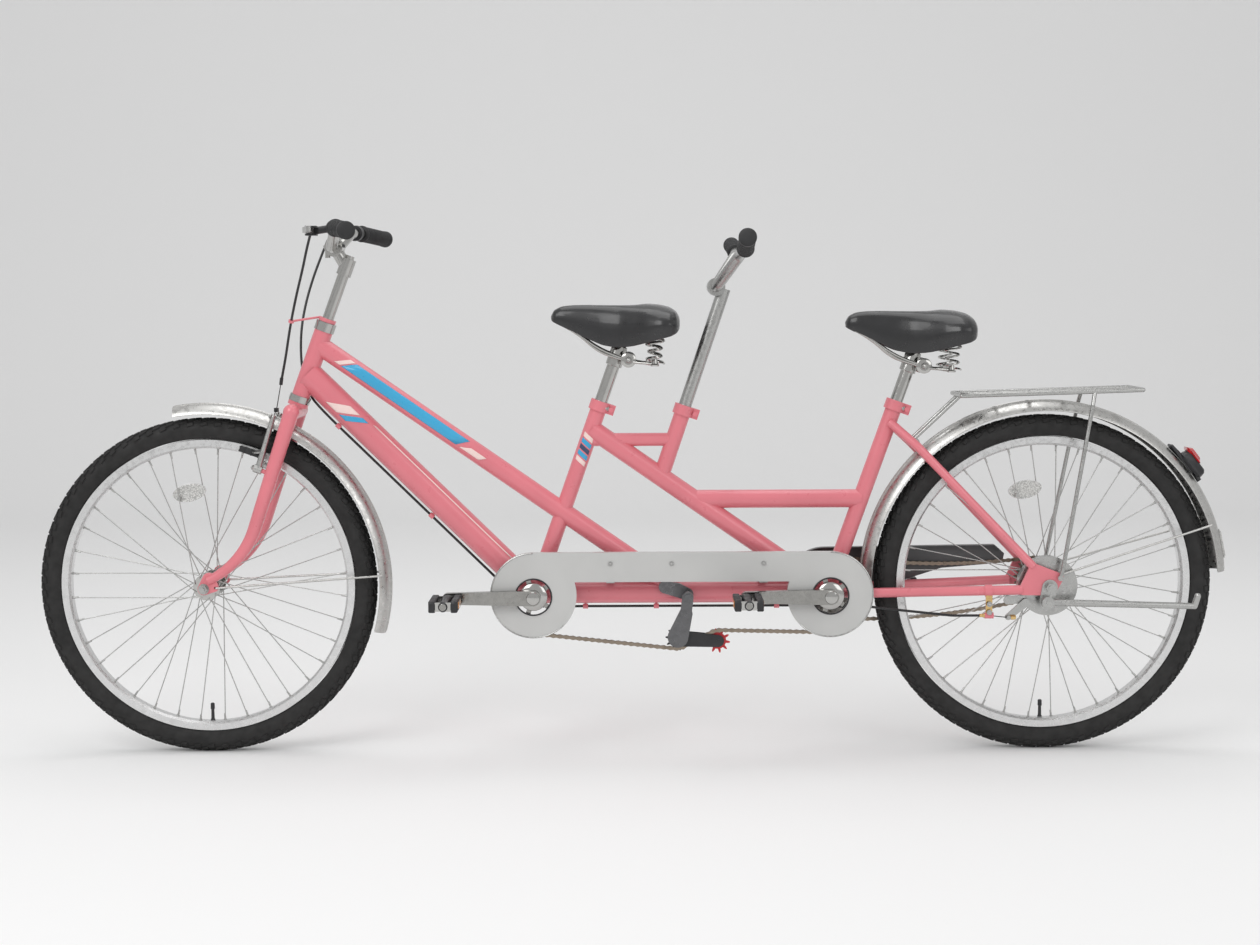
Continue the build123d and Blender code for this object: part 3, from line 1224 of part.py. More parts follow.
# ---------------------------------------------------------------- the rear rider's fixed bar
stoker_clamp = Vector(rear_bb_x - 220, 0, 914.7)
stoker_post_top = stoker_top + stoker_up * 240
stoker_insert = 84.0
stoker_bar = bar_points(stoker_clamp, 32, (43, 104, 62), (48, 160, 68), (45, bar_half, 88))
with BuildPart() as stoker_handlebar:
    rod(stoker_top - stoker_up * stoker_insert, stoker_post_top, post_radius)
    rod(stoker_post_top - stoker_up * 16, stoker_clamp, 11)
    rod(stoker_clamp - across * 21, stoker_clamp + across * 21, 17.5)
    rod(stoker_clamp - across * 22, stoker_clamp + across * 22, bar_clamp_radius + weld_gap, Mode.SUBTRACT)
    bent_bar(stoker_bar, bar_bends, bar_radius)
    rod(stoker_clamp - across * 26, stoker_clamp + across * 26, bar_clamp_radius)
stoker_handlebar.part.label = "stoker_handlebar"
export_step(stoker_handlebar.part, "parts/stoker_handlebar.step")

with BuildPart() as stoker_grips:
    grip_pair(stoker_bar, grip_length, grip_radius)
stoker_grips.part.label = "stoker_grips"
export_step(stoker_grips.part, "parts/stoker_grips.step")

# ---------------------------------------------------------------- rack, light, stand
rack_front, rack_rear, rack_half = rear_axle_x - 171.0, rear_axle_x + 179.0, 55.0
rack_low, rack_high = 703.0, 713.0
rack_rod = 4.5
leg_y = rear_dropout_y + dropout_thickness + 4.6
with BuildPart() as rear_rack:
    deck = [Vector(rack_front, -rack_half, rack_low), Vector(rack_rear, -rack_half, rack_high),
            Vector(rack_rear, rack_half, rack_high), Vector(rack_front, rack_half, rack_low)]
    for start, stop in zip(deck, deck[1:] + deck[:1]):
        rod(start, stop, rack_rod)
        ball(start, rack_rod)
    for step in range(1, 5):
        x = rack_front + step * (rack_rear - rack_front) / 5
        z = rack_low + step * (rack_high - rack_low) / 5
        rod((x, -rack_half, z), (x, rack_half, z), rack_rod - 1)
    rod((rack_front, 0, rack_low), (rack_rear, 0, rack_high), rack_rod - 1)
    for side in (-1, 1):
        knee = Vector(rear_axle_x + 81, side * (rack_half + 7), 684)
        foot = rear_axle_at + Vector(19, side * leg_y, 19)
        rod((knee.X + 5, side * rack_half, rack_low + 5), knee, rack_rod - 0.5)
        ball(knee, rack_rod - 0.5)
        rod(knee, foot + Vector(4, 0, 10), rack_rod - 0.5)
        rod(foot + Vector(4, 0, 10), foot, rack_rod - 0.5)
        rod(foot - across * side * (leg_y - rear_dropout_y), foot + across * side * 6, eyelet_radius - 0.05)
        rod(foot + across * side * 3, foot + across * side * 7, 5.5)
        strut_top = Vector(rack_front + 6, side * 16, rack_low)
        strut_foot = stay_bridge + Vector(0, side * 16, 9)
        rod(strut_top, strut_foot, rack_rod - 1)
        rod(strut_foot - Vector(0, 0, 8) - across * 6, strut_foot - Vector(0, 0, 8) + across * 6, 9)
    rod(stay_bridge - across * 30, stay_bridge + across * 30, 6 + weld_gap, Mode.SUBTRACT)
rear_rack.part.label = "rear_rack"
export_step(rear_rack.part, "parts/rear_rack.step")

lamp_shell = ((355, 32), (355, 47), (383, 46), (398, 37), (388, 31.5))
lamp_lens = ((398.4, 37), (388.4, 31.5), (364, 31.4), (364, 29.9), (392, 30.2), (403, 37.4))
with BuildPart() as tail_light:
    for outline, width in ((lamp_shell, 44.0), (lamp_lens, 40.0)):
        with BuildSketch(side_plane(width / 2)) as side_view:
            with BuildLine() as edge:
                Polyline(*[(rear_axle_x + radius * cos(radians(angle)), axle_z + radius * sin(radians(angle)))
                           for radius, angle in outline], close=True)
            make_face(edge.edges())
        extrude(side_view.sketch, amount=width)
    rod(rear_axle_at - across * 30, rear_axle_at + across * 30, fender_radius + weld_gap, Mode.SUBTRACT)
tail_light.part.label = "tail_light"
export_step(tail_light.part, "parts/tail_light.step")

stand_pivot = rear_axle_at + Vector(-6, 0, -28)
stand_face = rear_dropout_y + dropout_thickness + weld_gap
stand_pin = 4.5
with BuildPart() as kickstand_bracket:
    with BuildSketch(side_plane(-stand_face)) as plate:
        with Locations((rear_axle_x, axle_z)):
            Circle(15)
        with Locations((stand_pivot.X, stand_pivot.Z)):
            Circle(14)
        make_hull()
        with Locations((rear_axle_x, axle_z)):
            Circle(rear_axle_radius + weld_gap, mode=Mode.SUBTRACT)
    extrude(plate.sketch, amount=stand_plate)
    rod(stand_pivot - across * (stand_face + 1), stand_pivot - across * (stand_face + 20), stand_pin)
kickstand_bracket.part.label = "kickstand_bracket"
export_step(kickstand_bracket.part, "parts/kickstand_bracket.step")

leg_near, leg_far = stand_face + stand_plate + side_gap, stand_face + 19
leg_middle = (leg_near + leg_far) / 2
with BuildPart() as kickstand_leg:
    rod(stand_pivot - across * leg_near, stand_pivot - across * leg_far, 12)
    leg_end = stand_pivot + Vector(280, -leg_middle - 14, -6)
    taper(stand_pivot - across * leg_middle, leg_end, 7, 6)
    ball(leg_end, 6)
    rod(leg_end, leg_end + Vector(5, -3, 20), 6)
    ball(leg_end + Vector(5, -3, 20), 6)
    rod(stand_pivot - across * (leg_near - 1), stand_pivot - across * (leg_far + 1), stand_pin + running_gap,
        Mode.SUBTRACT)
kickstand_leg.part.label = "kickstand_leg"
export_step(kickstand_leg.part, "parts/kickstand_leg.step")
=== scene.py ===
"""Looks for the tandem bicycle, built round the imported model. Metres, in the row frame."""
import json
from math import acos, atan2, cos, hypot, pi, radians, sin

import bmesh
import bpy
from mathutils import Matrix, Vector


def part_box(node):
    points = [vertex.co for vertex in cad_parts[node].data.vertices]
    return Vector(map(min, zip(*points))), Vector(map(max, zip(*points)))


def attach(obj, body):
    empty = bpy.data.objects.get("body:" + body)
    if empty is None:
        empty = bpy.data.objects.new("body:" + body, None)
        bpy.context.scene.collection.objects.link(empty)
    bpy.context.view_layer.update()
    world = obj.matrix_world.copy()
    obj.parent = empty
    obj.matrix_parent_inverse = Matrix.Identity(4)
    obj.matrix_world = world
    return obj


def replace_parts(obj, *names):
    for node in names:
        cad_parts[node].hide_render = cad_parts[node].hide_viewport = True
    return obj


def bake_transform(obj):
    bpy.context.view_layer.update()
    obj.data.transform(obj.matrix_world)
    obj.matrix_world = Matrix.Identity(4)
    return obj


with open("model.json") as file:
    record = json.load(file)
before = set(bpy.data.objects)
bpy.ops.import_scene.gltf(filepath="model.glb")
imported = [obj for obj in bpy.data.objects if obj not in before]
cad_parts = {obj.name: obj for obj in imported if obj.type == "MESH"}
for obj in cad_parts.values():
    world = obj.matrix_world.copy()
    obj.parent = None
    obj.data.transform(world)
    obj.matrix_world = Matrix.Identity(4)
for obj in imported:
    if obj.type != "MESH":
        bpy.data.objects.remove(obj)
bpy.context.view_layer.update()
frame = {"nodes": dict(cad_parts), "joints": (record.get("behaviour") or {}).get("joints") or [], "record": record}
nodes = frame["nodes"]
joints = {joint["name"]: joint for joint in frame["joints"]}
ACROSS = Vector((0, 1, 0))
MM = 0.001

# ---------------------------------------------------------------- stations read from the frame


def joint_at(name):
    return Vector(joints[name]["pos_m"])


def middle(node):
    low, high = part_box(node)
    return (low + high) / 2


front_axle = joint_at("front_wheel_spin")
rear_axle = joint_at("rear_wheel_spin")
front_bb = joint_at("front_crank_spin")
rear_bb = joint_at("rear_crank_spin")
guide_at = joint_at("guide_pulley_spin")
tension_at = joint_at("tension_pulley_spin")
steer_at = joint_at("steering_turn")
steer_up = Vector(joints["steering_turn"]["axis"]).normalized()
steer_ahead = Vector((-steer_up.z, 0, steer_up.x))


def steer(height, ahead=0.0, side=0.0):
    """A point beside the steering axis, by its height on the axis, in metres."""
    foot = steer_at + steer_up * ((height - steer_at.z) / steer_up.z)
    return foot + steer_ahead * ahead + ACROSS * side


def at_wheel(centre, radius, angle, y=0.0):
    """A point beside a wheel: its radius, and its angle from straight back towards the top."""
    turn = radians(angle)
    return Vector((centre.x + radius * cos(turn), y, centre.z + radius * sin(turn)))


# ---------------------------------------------------------------- materials
def graph(name, colour, roughness, metallic=0.0, coat=0.0, sheen=0.0):
    """A principled material with its plain values set on the shader's own sockets."""
    material = bpy.data.materials.new(name)
    material.use_nodes = True
    tree = material.node_tree
    shader = tree.nodes["Principled BSDF"]
    shader.inputs["Base Color"].default_value = (*colour, 1)
    shader.inputs["Roughness"].default_value = roughness
    shader.inputs["Metallic"].default_value = metallic
    shader.inputs["Coat Weight"].default_value = coat
    shader.inputs["Coat Roughness"].default_value = 0.08
    if sheen:
        shader.inputs["Sheen Weight"].default_value = sheen
    where = tree.nodes.new("ShaderNodeTexCoord")
    return material, tree, shader, where.outputs["Object"]


def noise(tree, where, scale, detail=4.0, stretch=None):
    node = tree.nodes.new("ShaderNodeTexNoise")
    node.inputs["Scale"].default_value = scale
    node.inputs["Detail"].default_value = detail
    if stretch:
        mapping = tree.nodes.new("ShaderNodeMapping")
        mapping.inputs["Scale"].default_value = stretch
        tree.links.new(where, mapping.inputs["Vector"])
        where = mapping.outputs["Vector"]
    tree.links.new(where, node.inputs["Vector"])
    return node.outputs["Fac"]


def cells(tree, where, scale, feature="F1"):
    node = tree.nodes.new("ShaderNodeTexVoronoi")
    node.feature = feature
    node.inputs["Scale"].default_value = scale
    tree.links.new(where, node.inputs["Vector"])
    return node.outputs["Distance"]


def ramp(tree, value, stops):
    """Colours or greys along a value: stops are (place, colour)."""
    node = tree.nodes.new("ShaderNodeValToRGB")
    while len(node.color_ramp.elements) < len(stops):
        node.color_ramp.elements.new(0.5)
    for element, (place, colour) in zip(node.color_ramp.elements, stops):
        element.position = place
        element.color = (*colour, 1) if len(colour) == 3 else colour
    tree.links.new(value, node.inputs["Fac"])
    return node.outputs["Color"]


def grey(value):
    return (value, value, value)


def vary_roughness(tree, shader, value, low, high):
    tree.links.new(ramp(tree, value, ((0.3, grey(low)), (0.7, grey(high)))), shader.inputs["Roughness"])


def bump(tree, shader, value, strength, distance):
    node = tree.nodes.new("ShaderNodeBump")
    node.inputs["Strength"].default_value = strength
    node.inputs["Distance"].default_value = distance
    tree.links.new(value, node.inputs["Height"])
    tree.links.new(node.outputs["Normal"], shader.inputs["Normal"])


def shade(colour, factor):
    return tuple(min(1.0, channel * factor) for channel in colour)


def enamel(name, colour, roughness=0.32, coat=0.5, dust=0.06):
    """Sprayed enamel: a faint orange peel, slow colour drift and dust."""
    material, tree, shader, where = graph(name, colour, roughness, coat=coat)
    drift = noise(tree, where, 9, 3)
    tree.links.new(ramp(tree, drift, ((0.3, shade(colour, 1 - dust)), (0.7, shade(colour, 1 + dust)))),
                   shader.inputs["Base Color"])
    vary_roughness(tree, shader, noise(tree, where, 45, 5), roughness - 0.06, roughness + 0.1)
    bump(tree, shader, noise(tree, where, 700, 2), 0.05, 0.0004)
    return material


def plated(name, colour, roughness, wear=0.12, grain=None, tint=(0.45, 0.36, 0.28)):
    """Plated or bare metal: grain along one way, specks of tarnish."""
    material, tree, shader, where = graph(name, colour, roughness, metallic=1.0)
    fine = noise(tree, where, 60, 6, grain)
    tree.links.new(ramp(tree, fine, ((0.0, tint), (wear, shade(colour, 0.8)), (0.45, colour),
                                     (1.0, shade(colour, 1.08)))), shader.inputs["Base Color"])
    vary_roughness(tree, shader, noise(tree, where, 150, 5, grain), roughness * 0.6, roughness * 1.5)
    bump(tree, shader, noise(tree, where, 900, 3, grain), 0.06, 0.0003)
    return material


def plastic(name, colour, roughness, grain=1200):
    material, tree, shader, where = graph(name, colour, roughness)
    patches = noise(tree, where, 25, 4)
    tree.links.new(ramp(tree, patches, ((0.3, shade(colour, 0.8)), (0.75, shade(colour, 1.5)))),
                   shader.inputs["Base Color"])
    vary_roughness(tree, shader, noise(tree, where, 60, 4), roughness - 0.1, roughness + 0.1)
    bump(tree, shader, noise(tree, where, grain, 2), 0.25, 0.0003)
    return material


def vinyl(name, colour):
    """Moulded vinyl: fine leather grain under a gloss."""
    material, tree, shader, where = graph(name, colour, 0.3, coat=0.35)
    grain = cells(tree, where, 900, "DISTANCE_TO_EDGE")
    tree.links.new(ramp(tree, noise(tree, where, 14, 3), ((0.3, colour), (0.8, shade(colour, 1.7)))),
                   shader.inputs["Base Color"])
    vary_roughness(tree, shader, noise(tree, where, 40, 4), 0.24, 0.38)
    bump(tree, shader, grain, 0.18, 0.0004)
    return material


def lens(name, colour):
    """Moulded lens: prisms behind a clear, hard face."""
    material, tree, shader, where = graph(name, colour, 0.12, coat=0.8)
    prism = cells(tree, where, 420)
    tree.links.new(ramp(tree, prism, ((0.1, shade(colour, 1.25)), (0.7, shade(colour, 0.6)))),
                   shader.inputs["Base Color"])
    bump(tree, shader, prism, 0.5, 0.0008)
    return material


PINK = (0.70, 0.185, 0.22)
paint = enamel("pink_enamel", PINK)
silver_paint = enamel("silver_enamel", (0.50, 0.50, 0.49), 0.34, 0.25, 0.05)
fender_paint = plated("fender_steel", (0.55, 0.545, 0.53), 0.32, 0.05, None, (0.5, 0.49, 0.47))
guard_paint = enamel("guard_grey", (0.07, 0.07, 0.072), 0.45, 0.15)
chrome = plated("bright_chrome", (0.46, 0.455, 0.44), 0.12, 0.05)
crank_metal = plated("crank_plate", (0.32, 0.315, 0.30), 0.2, 0.05, (1, 4, 1))
alloy = plated("satin_alloy", (0.44, 0.44, 0.43), 0.27, 0.03, (1, 4, 1), (0.5, 0.5, 0.48))
rim_metal = plated("rim_alloy", (0.70, 0.70, 0.70), 0.3, 0.04, (1, 6, 1), (0.55, 0.55, 0.54))
zinc = plated("zinc_steel", (0.46, 0.46, 0.45), 0.3, 0.1)
dark_steel = plated("dark_steel", (0.16, 0.16, 0.165), 0.35, 0.12)
chain_steel = plated("chain_steel", (0.30, 0.25, 0.20), 0.36, 0.3, None, (0.16, 0.09, 0.05))
brass = plated("brass", (0.72, 0.50, 0.22), 0.28, 0.12, None, (0.3, 0.2, 0.1))
black = plastic("black_plastic", (0.018, 0.018, 0.020), 0.42)
red_plastic = plastic("red_plastic", (0.42, 0.015, 0.02), 0.38)
rubber = plastic("grip_rubber", (0.016, 0.016, 0.017), 0.62, 2200)
tyre_rubber = plastic("tyre_rubber", (0.0105, 0.0100, 0.0098), 0.72, 900)
sleeve = plastic("cable_sleeve", (0.012, 0.012, 0.013), 0.3, 1500)
seat_vinyl = vinyl("seat_vinyl", (0.008, 0.008, 0.009))
red_lens = lens("red_lens", (0.62, 0.01, 0.015))
clear_lens = lens("clear_lens", (0.62, 0.62, 0.60))
amber_lens = lens("amber_lens", (0.75, 0.26, 0.02))
blue_film = enamel("blue_film", (0.035, 0.36, 0.62), 0.3, 0.4, 0.03)
pale_film = enamel("pale_film", (0.86, 0.66, 0.62), 0.3, 0.4, 0.03)
navy_film = enamel("navy_film", (0.03, 0.05, 0.12), 0.3, 0.4, 0.03)

CAD_LOOKS = {
    "frame_paint": paint, "chrome": chrome, "dark_steel": dark_steel, "case_silver": silver_paint,
    "chain_steel": chain_steel, "black_plastic": black, "red_plastic": red_plastic,
    "crank_steel": crank_metal,
    "pedal_plastic": black, "tyre_rubber": tyre_rubber, "rim_aluminium": rim_metal, "spoke_steel": zinc,
    "bright_steel": zinc, "fender_grey": fender_paint, "grip_rubber": rubber, "cable_black": sleeve,
    "rack_steel": alloy, "lamp_red": red_lens, "saddle_black": seat_vinyl, "guard_grey": guard_paint,
    "stoker_silver": alloy, "lever_alloy": alloy,
}
NODE_LOOKS = {"clamps_and_cable_stops": paint, "rear_brake_arm": zinc, "kickstand_leg": zinc}
for subpart in frame["record"]["subparts"]:
    data = nodes[subpart["node"]].data
    look = NODE_LOOKS.get(subpart["node"], CAD_LOOKS.get(subpart["material_slot"], zinc))
    if data.materials:
        data.materials[0] = look
    else:
        data.materials.append(look)


# ---------------------------------------------------------------- mesh helpers
def beside(point, x=0.0, y=0.0, z=0.0):
    """A point moved by millimetres."""
    return point + Vector((x, y, z)) * MM


def mm(*sizes):
    return tuple(size * MM for size in sizes)


def scaled(*profile):
    """A turned profile given in millimetres."""
    return [mm(along, radius) for along, radius in profile]


def to_object(name, bm, material, body, smooth=True):
    """Turns a bmesh into a piece that rides on a body."""
    bmesh.ops.recalc_face_normals(bm, faces=bm.faces)
    mesh = bpy.data.meshes.new(name)
    bm.to_mesh(mesh)
    bm.free()
    piece = bpy.data.objects.new(name, mesh)
    bpy.context.scene.collection.objects.link(piece)
    mesh.materials.append(material)
    if smooth:
        mesh.shade_smooth()
        mesh.set_sharp_from_angle(angle=radians(38))
    if body:
        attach(piece, body)
    return piece


def basis(direction):
    """Two directions square to a third."""
    direction = direction.normalized()
    other = ACROSS if abs(direction.y) < 0.9 else Vector((1, 0, 0))
    side = direction.cross(other).normalized()
    return side, direction.cross(side).normalized()


def add_tube(bm, points, radii, around=12, closed=False):
    """A tube through points; one radius, or one for each point."""
    points = [Vector(point) for point in points]
    if not isinstance(radii, (list, tuple)):
        radii = [radii] * len(points)
    count = len(points)
    rings = []
    side = None
    for index, point in enumerate(points):
        before = points[index - 1] if closed or index else point
        after = points[(index + 1) % count] if closed or index < count - 1 else point
        run = (after - before).normalized()
        side = basis(run)[0] if side is None else (side - run * side.dot(run)).normalized()
        up = run.cross(side)
        rings.append([bm.verts.new(point + (side * cos(a) + up * sin(a)) * radii[index])
                      for a in (2 * pi * k / around for k in range(around))])
    for index in range(count if closed else count - 1):
        here, there = rings[index], rings[(index + 1) % count]
        for k in range(around):
            n = (k + 1) % around
            bm.faces.new((here[k], here[n], there[n], there[k]))
    if not closed:
        bm.faces.new(rings[0][::-1])
        bm.faces.new(rings[-1])


def add_lathe(bm, start, direction, profile, around=32):
    """A turned shape: profile is (distance along, radius) from one end to the other."""
    direction = direction.normalized()
    side, up = basis(direction)
    rings = []
    for along, radius in profile:
        centre = Vector(start) + direction * along
        rings.append([bm.verts.new(centre + (side * cos(a) + up * sin(a)) * radius)
                      for a in (2 * pi * k / around for k in range(around))])
    for here, there in zip(rings, rings[1:]):
        for k in range(around):
            n = (k + 1) % around
            bm.faces.new((here[k], here[n], there[n], there[k]))
    bm.faces.new(rings[0][::-1])
    bm.faces.new(rings[-1])


def add_block(bm, centre, axes, sizes, chamfer=0.0, shrink=1.0):
    """A block with chamfered edges along its first axis' ends; shrink narrows its outer end."""
    right, forward, up = axes
    half_x, half_y, half_z = (size / 2 for size in sizes)
    cut = chamfer
    outline = [
        (-half_x + cut, -half_y), (half_x - cut, -half_y), (half_x, -half_y + cut), (half_x, half_y - cut),
        (half_x - cut, half_y), (-half_x + cut, half_y), (-half_x, half_y - cut), (-half_x, -half_y + cut),
    ]
    if not cut:
        outline = [(-half_x, -half_y), (half_x, -half_y), (half_x, half_y), (-half_x, half_y)]
    levels = ((-half_z, 1.0), (half_z, shrink)) if not cut else (
        (-half_z, 1 - cut / half_x), (-half_z + cut, 1.0),
        (half_z - cut, shrink), (half_z, shrink - cut / half_x))
    rings = [[bm.verts.new(Vector(centre) + (right * x + forward * y) * scale + up * z) for x, y in outline]
             for z, scale in levels]
    sides = len(outline)
    for here, there in zip(rings, rings[1:]):
        for k in range(sides):
            n = (k + 1) % sides
            bm.faces.new((here[k], here[n], there[n], there[k]))
    bm.faces.new(rings[0][::-1])
    bm.faces.new(rings[-1])


WORLD_AXES = (Vector((1, 0, 0)), Vector((0, 1, 0)), Vector((0, 0, 1)))


def add_bolt(bm, seat, out, radius, height, domed=True):
    """A hexagon head on a washer, with a domed end."""
    out = out.normalized()
    add_lathe(bm, seat, out, ((0, radius * 1.45), (0.0012, radius * 1.45)), 24)
    side, up = basis(out)
    base = Vector(seat) + out * 0.0012
    profile = ((0, 1.0), (height * 0.8, 1.0), (height, 0.86))
    rings = [[bm.verts.new(base + out * along + (side * cos(a) + up * sin(a)) * radius * scale)
              for a in (2 * pi * k / 6 for k in range(6))] for along, scale in profile]
    for here, there in zip(rings, rings[1:]):
        for k in range(6):
            n = (k + 1) % 6
            bm.faces.new((here[k], here[n], there[n], there[k]))
    bm.faces.new(rings[0][::-1])
    bm.faces.new(rings[-1])
    if domed:
        add_lathe(bm, base + out * height, out, ((-0.0005, radius * 0.5), (radius * 0.35, radius * 0.42),
                                                 (radius * 0.5, radius * 0.2)), 12)


def sampled(points, count=6):
    """Points along a smooth curve that uses the given points as its control points."""
    curve = bpy.data.curves.new("path", "CURVE")
    curve.dimensions = "3D"
    spline = curve.splines.new("NURBS")
    spline.points.add(len(points) - 1)
    for control, point in zip(spline.points, points):
        control.co = (*point, 1)
    spline.order_u = 3
    spline.use_endpoint_u = True
    spline.resolution_u = count
    holder = bpy.data.objects.new("path", curve)
    bpy.context.scene.collection.objects.link(holder)
    mesh = bpy.data.meshes.new_from_object(holder)
    line = [vertex.co.copy() for vertex in mesh.vertices]
    bpy.data.objects.remove(holder)
    bpy.data.curves.remove(curve)
    bpy.data.meshes.remove(mesh)
    return line


# ---------------------------------------------------------------- tyres and wheels
TYRE_RADIUS = (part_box("front_tyre")[1].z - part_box("front_tyre")[0].z) / 2
TYRE_SECTION = (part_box("front_tyre")[1].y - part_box("front_tyre")[0].y) / 2
RIM_RADIUS = (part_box("front_rim")[1].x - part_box("front_rim")[0].x) / 2
KNOB = 2.6 * MM
KNOBS_ROUND = 74


def tyre_frame(centre, turn, lean_out):
    """A point's directions on the tyre's skin: round the wheel, across it, and outwards."""
    radial = Vector((cos(turn), 0, sin(turn)))
    ahead = Vector((-sin(turn), 0, cos(turn)))
    out = radial * cos(lean_out) + ACROSS * sin(lean_out)
    side = ACROSS * cos(lean_out) - radial * sin(lean_out)
    core = centre + radial * (TYRE_RADIUS - TYRE_SECTION)
    return core, ahead, side, out


def make_tyre(name, centre, body, node):
    bm = bmesh.new()
    base = TYRE_SECTION - KNOB
    profile = []
    for step in range(37):
        lean_out = radians(-142 + step * 284 / 36)
        swell = 0.5 * MM if abs(abs(lean_out) - radians(78)) < radians(5) else 0.0
        profile.append((lean_out, base + swell + (0.6 * MM if abs(lean_out) > radians(132) else 0)))
    steps = 144
    rings = []
    for k in range(steps):
        ring = []
        for lean_out, radius in profile:
            core, ahead, side, out = tyre_frame(centre, 2 * pi * k / steps, lean_out)
            ring.append(bm.verts.new(core + out * radius))
        rings.append(ring)
    for k in range(steps):
        here, there = rings[k], rings[(k + 1) % steps]
        for j in range(len(profile) - 1):
            bm.faces.new((here[j], here[j + 1], there[j + 1], there[j]))
        bm.faces.new((here[-1], here[0], there[0], there[-1]))
    pitch = 2 * pi / KNOBS_ROUND
    rows = ((0.0, 0.0, 8.5, 9.5), (19.0, 0.5, 8.0, 6.5), (-19.0, 0.5, 8.0, 6.5),
            (38.0, 0.0, 9.5, 6.0), (-38.0, 0.0, 9.5, 6.0), (58.0, 0.5, 8.5, 7.5), (-58.0, 0.5, 8.5, 7.5))
    for k in range(KNOBS_ROUND):
        for lean_degrees, shift, long_way, wide in rows:
            turn = (k + shift) * pitch
            core, ahead, side, out = tyre_frame(centre, turn, radians(lean_degrees))
            skew = radians(14 if lean_degrees > 0 else -14)
            along = ahead * cos(skew) + side * sin(skew)
            beside = side * cos(skew) - ahead * sin(skew)
            add_block(bm, core + out * (base + KNOB / 2 - 0.6 * MM), (along, beside, out),
                      (long_way * 2 * MM * 0.86, wide * MM, KNOB + 0.9 * MM), 0, 0.8)
    piece = to_object(name, bm, tyre_rubber, body)
    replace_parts(piece, node)
    return piece


def make_valve(name, centre, body):
    bm = bmesh.new()
    foot = centre - Vector((0, 0, RIM_RADIUS - 17 * MM))
    add_lathe(bm, foot + Vector((0, 0, 1 * MM)), Vector((0, 0, 1)),
              scaled((0, 4.6), (2, 4.6), (3, 3.4), (22, 3.1), (22.5, 4.2), (33, 4.0), (34.5, 2.6)), 20)
    to_object(name, bm, black, body)


def make_reflector(name, centre, body):
    """A clear oval reflector with a raised rim and prism rows."""
    turn = radians(101)
    out = Vector((cos(turn), 0, sin(turn)))
    along = Vector((sin(turn), 0, -cos(turn)))
    place = centre + out * 187 * MM
    bm = bmesh.new()
    half_long, half_high = 32.6 * MM, 17.6 * MM
    for face in (-1, 1):
        rings = []
        for scale, depth in ((1.0, 0.0), (1.0, 4.9), (0.93, 5.4), (0.88, 4.9), (0.55, 5.3), (0.08, 5.6)):
            middle_of_ring = place + ACROSS * face * depth * MM
            rings.append([bm.verts.new(middle_of_ring + along * cos(a) * half_long * scale
                                       + out * sin(a) * half_high * scale)
                          for a in (2 * pi * k / 48 for k in range(48))])
        for here, there in zip(rings, rings[1:]):
            for k in range(48):
                n = (k + 1) % 48
                bm.faces.new((here[k], here[n], there[n], there[k]))
        bm.faces.new(rings[-1])
    bmesh.ops.remove_doubles(bm, verts=bm.verts, dist=0.00002)
    to_object(name, bm, clear_lens, body)


def make_nipples(name, centre, body):
    """The nipples at the rim, one for each spoke."""
    bm = bmesh.new()
    for spoke in range(36):
        turn = (spoke + 0.5) * pi / 18
        out = Vector((cos(turn), 0, sin(turn)))
        side = 1 if spoke % 2 else -1
        foot = centre + out * (RIM_RADIUS - 17.6 * MM) + ACROSS * side * 4 * MM
        add_lathe(bm, foot + out * 1.5 * MM, -out - ACROSS * -side * 0.1,
                  scaled((0, 3.3), (1.6, 3.3), (2.2, 2.1), (13, 1.7)), 10)
    to_object(name, bm, zinc, body)


for end, centre in (("front", front_axle), ("rear", rear_axle)):
    body = f"{end}_wheel"
    make_tyre(f"{end}_tyre_tread", centre, body, f"{end}_tyre")
    make_valve(f"{end}_valve", centre, body)
    make_reflector(f"{end}_wheel_reflector", centre, body)
    make_nipples(f"{end}_spoke_nipples", centre, body)

# ---------------------------------------------------------------- chains
CHAIN_PITCH = 12.7 * MM
RING_TEETH, DRIVE_TEETH, FREEWHEEL_TEETH, PULLEY_TEETH = 36, 32, 20, 10


def pitch_radius(teeth):
    return CHAIN_PITCH / (2 * sin(pi / teeth))


def tangents(loop):
    """The straight runs between the wheels of a chain, each wheel being (x, z, radius, turn)."""
    runs = []
    for index, (x1, z1, r1, s1) in enumerate(loop):
        x2, z2, r2, s2 = loop[(index + 1) % len(loop)]
        normal = atan2(z2 - z1, x2 - x1) + acos((s2 * r2 - s1 * r1) / hypot(x2 - x1, z2 - z1))
        nx, nz = cos(normal), sin(normal)
        runs.append(((x1 - s1 * r1 * nx, z1 - s1 * r1 * nz), (x2 - s2 * r2 * nx, z2 - s2 * r2 * nz)))
    return runs


def pin_places(loop, sag):
    """Where the chain's pins are, round each wheel and along each run."""
    runs = tangents(loop)
    places = []
    for index, (x, z, r, s) in enumerate(loop):
        arrive, (leave, onward) = runs[index - 1][1], runs[index]
        step = 2 * pi / round(2 * pi * r / CHAIN_PITCH)
        start = atan2(arrive[1] - z, arrive[0] - x)
        stop = atan2(leave[1] - z, leave[0] - x)
        wrap = (stop - start) % (2 * pi) if s > 0 else (start - stop) % (2 * pi)
        whole = int(wrap / step)
        places += [(x + r * cos(start + s * k * step), z + r * sin(start + s * k * step))
                   for k in range(whole + 1)]
        rest = (wrap - whole * step) * r
        length = hypot(onward[0] - leave[0], onward[1] - leave[1])
        count = round((rest + length) / CHAIN_PITCH)
        for k in range(1, count):
            along = k * (rest + length) / count
            if along < rest:
                angle = start + s * (whole * step + along / r)
                places.append((x + r * cos(angle), z + r * sin(angle)))
            else:
                t = (along - rest) / length
                places.append((leave[0] + t * (onward[0] - leave[0]),
                               leave[1] + t * (onward[1] - leave[1]) - 4 * sag * t * (1 - t)))
    return places


